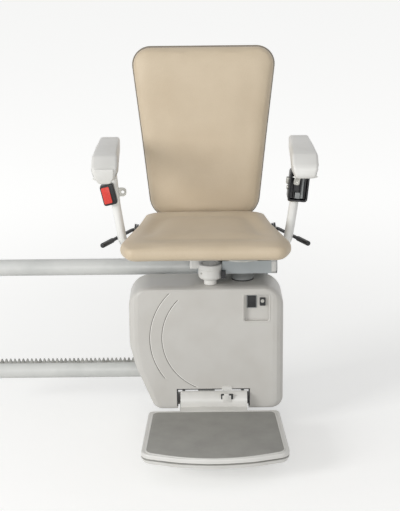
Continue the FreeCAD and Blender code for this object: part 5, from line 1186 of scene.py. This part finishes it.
@dataclass
class FootrestTrim:
    """The step mat with round corners, its white bead, the notch's dark edging and the hinge cover's catch."""

    centre_x: float = 20.0
    back: float = -247.0
    front: float = -507.0
    bow: float = 44.0
    half_back: float = 169.5
    half_front: float = 182.0
    deck: float = 88.0
    mat_top: float = 89.6
    notch: tuple[float, float, float, float] = (-82.0, 120.0, 72.0, 132.0)
    casing_face: float = -185.0
    catch: tuple[float, float] = (43.0, 72.0)

    def make(self, shop: Paintshop) -> None:
        """Builds the mat, the bead, the edging and the catch."""
        mat = Workpiece("step_mat")
        mat.plate(self.outline(0.0, self.deck - 2.6), (0, 0, self.mat_top - self.deck + 2.6), 16.0, 6)
        mat.ease_all(0.8)
        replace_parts(mat.finish("footrest", shop, Slot.MAT_RUBBER, 40), "footrest_mat")
        bead = Workpiece("step_mat_bead")
        ring = bead.picture_frame(
            self.outline(-4.0, self.deck - 0.4), (0, 0, 1.2), 20.0, ((1.4, 1.0), (1.6, 0.0), (1.2, -1.2)), 6
        )
        bead.soften(bead.sharp(ring, 50), 0.3, 2)
        bead.finish("footrest", shop, Slot.WHITE_PLASTIC, 60)
        self.make_edging(shop)
        self.make_catch(shop)

    def outline(self, inset: float, z: float) -> list[Point]:
        """The mat's outline at a height, with a bowed front."""
        x, back = self.centre_x, self.back - inset
        half_b, half_f = self.half_back - inset, self.half_front - inset
        points = [(x + half_b, back, z), (x - half_b, back, z), (x - half_f, self.front - 6 + inset, z)]
        for step in range(1, 8):
            share = step / 4 - 1
            bowed = self.front + inset - self.bow * (1 - share * share) - 6
            points.append((x + share * half_f * 0.97, bowed, z))
        return points + [(x + half_f, self.front - 6 + inset, z)]

    def make_edging(self, shop: Paintshop) -> None:
        """Builds the dark rubber lip round the casing's notch."""
        left, right, low, high = self.notch
        edging = Workpiece("notch_edging")
        y = self.casing_face + 0.4
        for start, end in (
            ((left - 3.0, y - 1.4, low + 10), (left + 0.8, y, high + 2.6)),
            ((right - 0.8, y - 1.4, low + 10), (right + 3.0, y, high + 2.6)),
            ((left - 3.0, y - 1.4, high + 0.2), (right + 3.0, y, high + 2.6)),
        ):
            edging.bar(start, end, 0.5)
        edging.finish("carriage", shop, Slot.RUBBER_BLACK, 40)

    def make_catch(self, shop: Paintshop) -> None:
        """Builds the white catch on the hinge cover and its dark seat."""
        left, right = self.catch
        seat = Workpiece("catch_seat")
        seat.bar((left - 2.5, -211.0, 112.0), (right + 2.5, -203.0, 126.0), 1.2, 3)
        seat.finish("footrest", shop, Slot.RUBBER_BLACK, 40)
        catch = Workpiece("footrest_catch")
        catch.bar((left + 1, -213.0, 104.0), (right - 3, -202.0, 124.0), 2.0, 4)
        catch.bar((left + 6, -214.5, 109.0), (right - 9, -205.0, 129.5), 1.4, 3)
        catch.finish("footrest", shop, Slot.WHITE_PLASTIC, 40)


@dataclass
class ArmPad:
    """A moulded arm pad with a rolled top, drawn in at the rear and full at the front."""

    side: int
    node: str
    body: str
    x: float = 258.0
    profile: tuple[tuple[float, float], ...] = (
        (-128.0, 812.0), (-130.0, 856.0), (-250.0, 857.0), (-362.0, 853.0), (-400.0, 826.0), (-404.0, 796.0),
        (-384.0, 790.0), (-330.0, 802.0), (-240.0, 809.0),
    )
    half_rear: float = 27.0
    half_front: float = 34.0
    nose_draw: float = 0.32

    def make(self, shop: Paintshop) -> None:
        """Builds the pad."""
        pad = Workpiece(f"{self.node}_moulding")
        middle = self.side * self.x
        corners = [(middle - 1.0, y, z) for y, z in self.profile]
        pad.plate(corners, (2.0, 0, 0), 9.0, 4)
        for vert in pad.mesh.verts:
            along = min(1.0, max(0.0, (-128.0 - vert.co.y) / 230.0))
            half = self.half_rear + (self.half_front - self.half_rear) * along
            drop = min(1.0, max(0.0, (832.0 - vert.co.z) / 44.0))
            drop *= min(1.0, max(0.0, (-330.0 - vert.co.y) / 60.0))
            half *= 1.0 - self.nose_draw * drop * drop
            vert.co.x = middle + half * (1.0 if vert.co.x > middle else -1.0)
        pad.ease_all(8.5, 5, 50)
        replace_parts(pad.finish(self.body, shop, Slot.WHITE_PLASTIC, 45), self.node)


@dataclass
class Studio:
    """The plain floor, the soft lights and the camera at the photograph's angle."""

    camera_mm: tuple[float, float, float] = (-15.0, -3800.0, 1580.0)
    pitch_deg: float = 16.2
    roll_deg: float = -0.6
    focal_px: float = 1361.0
    frame_px: tuple[int, int] = (400, 511)
    floor_colour: str = "EDEDEB"
    floor_size: float = 60.0
    ambient: float = 0.44
    lift_near: float = 0.36
    lift_far: float = 0.54

    def build(self) -> None:
        """Sets up everything round the object."""
        self.build_camera()
        self.build_floor()
        self.build_world()
        self.build_lamp("key_left", (-5.6, -4.4, 2.6), 2.6, 250.0)
        self.build_lamp("fill_front", (0.4, -7.4, 2.0), 3.4, 120.0)
        bpy.context.scene.view_settings.view_transform = "Standard"

    def build_camera(self) -> None:
        """Places the camera that saw the photograph."""
        pitch, roll = math.radians(self.pitch_deg), math.radians(self.roll_deg)
        forward = Vector((0.0, math.cos(pitch), -math.sin(pitch)))
        side = Vector((1.0, 0.0, 0.0))
        above = side.cross(forward)
        right = side * math.cos(roll) + above * math.sin(roll)
        up = above * math.cos(roll) - side * math.sin(roll)
        lens = bpy.data.cameras.new("photo_camera")
        lens.sensor_fit = "VERTICAL"
        lens.sensor_height = 36.0
        lens.lens = self.focal_px * 36.0 / self.frame_px[1]
        camera = linked("photo_camera", lens)
        turned = Matrix((right, up, -forward)).transposed().to_4x4()
        camera.matrix_world = Matrix.Translation(Vector(self.camera_mm) * MM) @ turned
        bpy.context.scene.camera = camera

    def build_floor(self) -> None:
        """Lays a pale floor that the camera sees nearly white and that keeps the shadow."""
        mesh = bmesh.new()
        bmesh.ops.create_grid(mesh, x_segments=2, y_segments=2, size=self.floor_size / 2)
        data = bpy.data.meshes.new("studio_floor")
        mesh.to_mesh(data)
        mesh.free()
        floor = linked("studio_floor", data)
        material = bpy.data.materials.new("studio_floor_paper")
        material.use_nodes = True
        tree = material.node_tree
        shader = tree.nodes["Principled BSDF"]
        shader.inputs["Base Color"].default_value = linear(self.floor_colour)
        shader.inputs["Roughness"].default_value = 0.9
        shader.inputs["Specular IOR Level"].default_value = 0.0
        path = add_node(tree, "ShaderNodeLightPath")
        sharp_rays = add_node(
            tree, "ShaderNodeMath", {}, {0: path.outputs["Is Camera Ray"], 1: path.outputs["Is Glossy Ray"]},
            operation="ADD", use_clamp=True,
        )
        where = add_node(tree, "ShaderNodeTexCoord")
        away = add_node(tree, "ShaderNodeVectorMath", {}, {0: where.outputs["Object"]}, operation="LENGTH")
        # The lamps light the middle of the paper more than its far end, which glows more to match.
        far = add_node(
            tree, "ShaderNodeMapRange",
            {"From Min": 0.2, "From Max": 3.0, "To Min": self.lift_near, "To Max": self.lift_far},
            {"Value": away.outputs["Value"]}, interpolation_type="SMOOTHSTEP",
        )
        # Under the lamps, in front of the chair, the paper is bright enough by itself.
        split = add_node(tree, "ShaderNodeSeparateXYZ", {}, {0: where.outputs["Object"]})
        behind = add_node(
            tree, "ShaderNodeMapRange", {"From Min": -5.0, "From Max": -0.8}, {"Value": split.outputs["Y"]}
        )
        glow = add_node(
            tree, "ShaderNodeMath", {}, {0: behind.outputs[0], 1: far.outputs[0]}, operation="MULTIPLY"
        )
        lift = add_node(
            tree, "ShaderNodeMath", {}, {0: sharp_rays.outputs[0], 1: glow.outputs[0]}, operation="MULTIPLY"
        )
        shader.inputs["Emission Color"].default_value = (1.0, 1.0, 1.0, 1.0)
        tree.links.new(lift.outputs[0], shader.inputs["Emission Strength"])
        data.materials.append(material)

    def build_world(self) -> None:
        """Fills the shadows with an even pale sky."""
        world = bpy.data.worlds.new("studio_world")
        world.use_nodes = True
        tree = world.node_tree
        back = tree.nodes["Background"]
        path = add_node(tree, "ShaderNodeLightPath")
        seen = add_node(
            tree, "ShaderNodeMath", {}, {0: path.outputs["Is Camera Ray"], 1: path.outputs["Is Glossy Ray"]},
            operation="ADD", use_clamp=True,
        )
        strength = add_node(
            tree, "ShaderNodeMapRange", {"To Min": self.ambient, "To Max": 0.95}, {"Value": seen.outputs[0]}
        )
        back.inputs["Color"].default_value = (1.0, 1.0, 1.0, 1.0)
        tree.links.new(strength.outputs[0], back.inputs["Strength"])
        bpy.context.scene.world = world

    def build_lamp(self, name: str, place: Point, size: float, watts: float) -> None:
        """Hangs one square soft box that faces the chair."""
        light = bpy.data.lights.new(name, "AREA")
        light.shape = "SQUARE"
        light.size = size
        light.energy = watts
        lamp = linked(name, light)
        aim = Vector((0.0, -0.2, 0.55)) - Vector(place)
        turned = aim.to_track_quat("-Z", "Y").to_matrix().to_4x4()
        lamp.matrix_world = Matrix.Translation(Vector(place)) @ turned


def main() -> None:
    """Dresses the chair piece by piece."""
    logging.basicConfig(level=logging.INFO, format="%(name)s: %(message)s")
    shop = Paintshop()
    shop.paint_frame(frame["nodes"])
    log.info("dressed %d packed nodes", len(frame["nodes"]))
    for cushion in (
        Cushion("seat_cushion", "seat_cushion_cover", "seat_base", 0.75, face_way=(0.0, 0.0, 1.0),
                lift_mm=9.0, narrow=0.06),
        Cushion("backrest_cushion", "backrest_cushion_cover", "seat", 0.75),
    ):
        cushion.make(shop)
        log.info("upholstered %s", cushion.name)
    for assembly in (
        PostBoots(), InterlockDrum(), ControlPanel(), Buckle(), Retractor(), DirectionToggle(), FootrestTrim(),
        ArmPad(-1, "arm_pad_left", "arm_left"), ArmPad(1, "arm_pad_right", "arm_right"),
    ):
        assembly.make(shop)
        log.info("built %s", type(assembly).__name__)
    Studio().build()


if __name__ == "__main__":
    main()
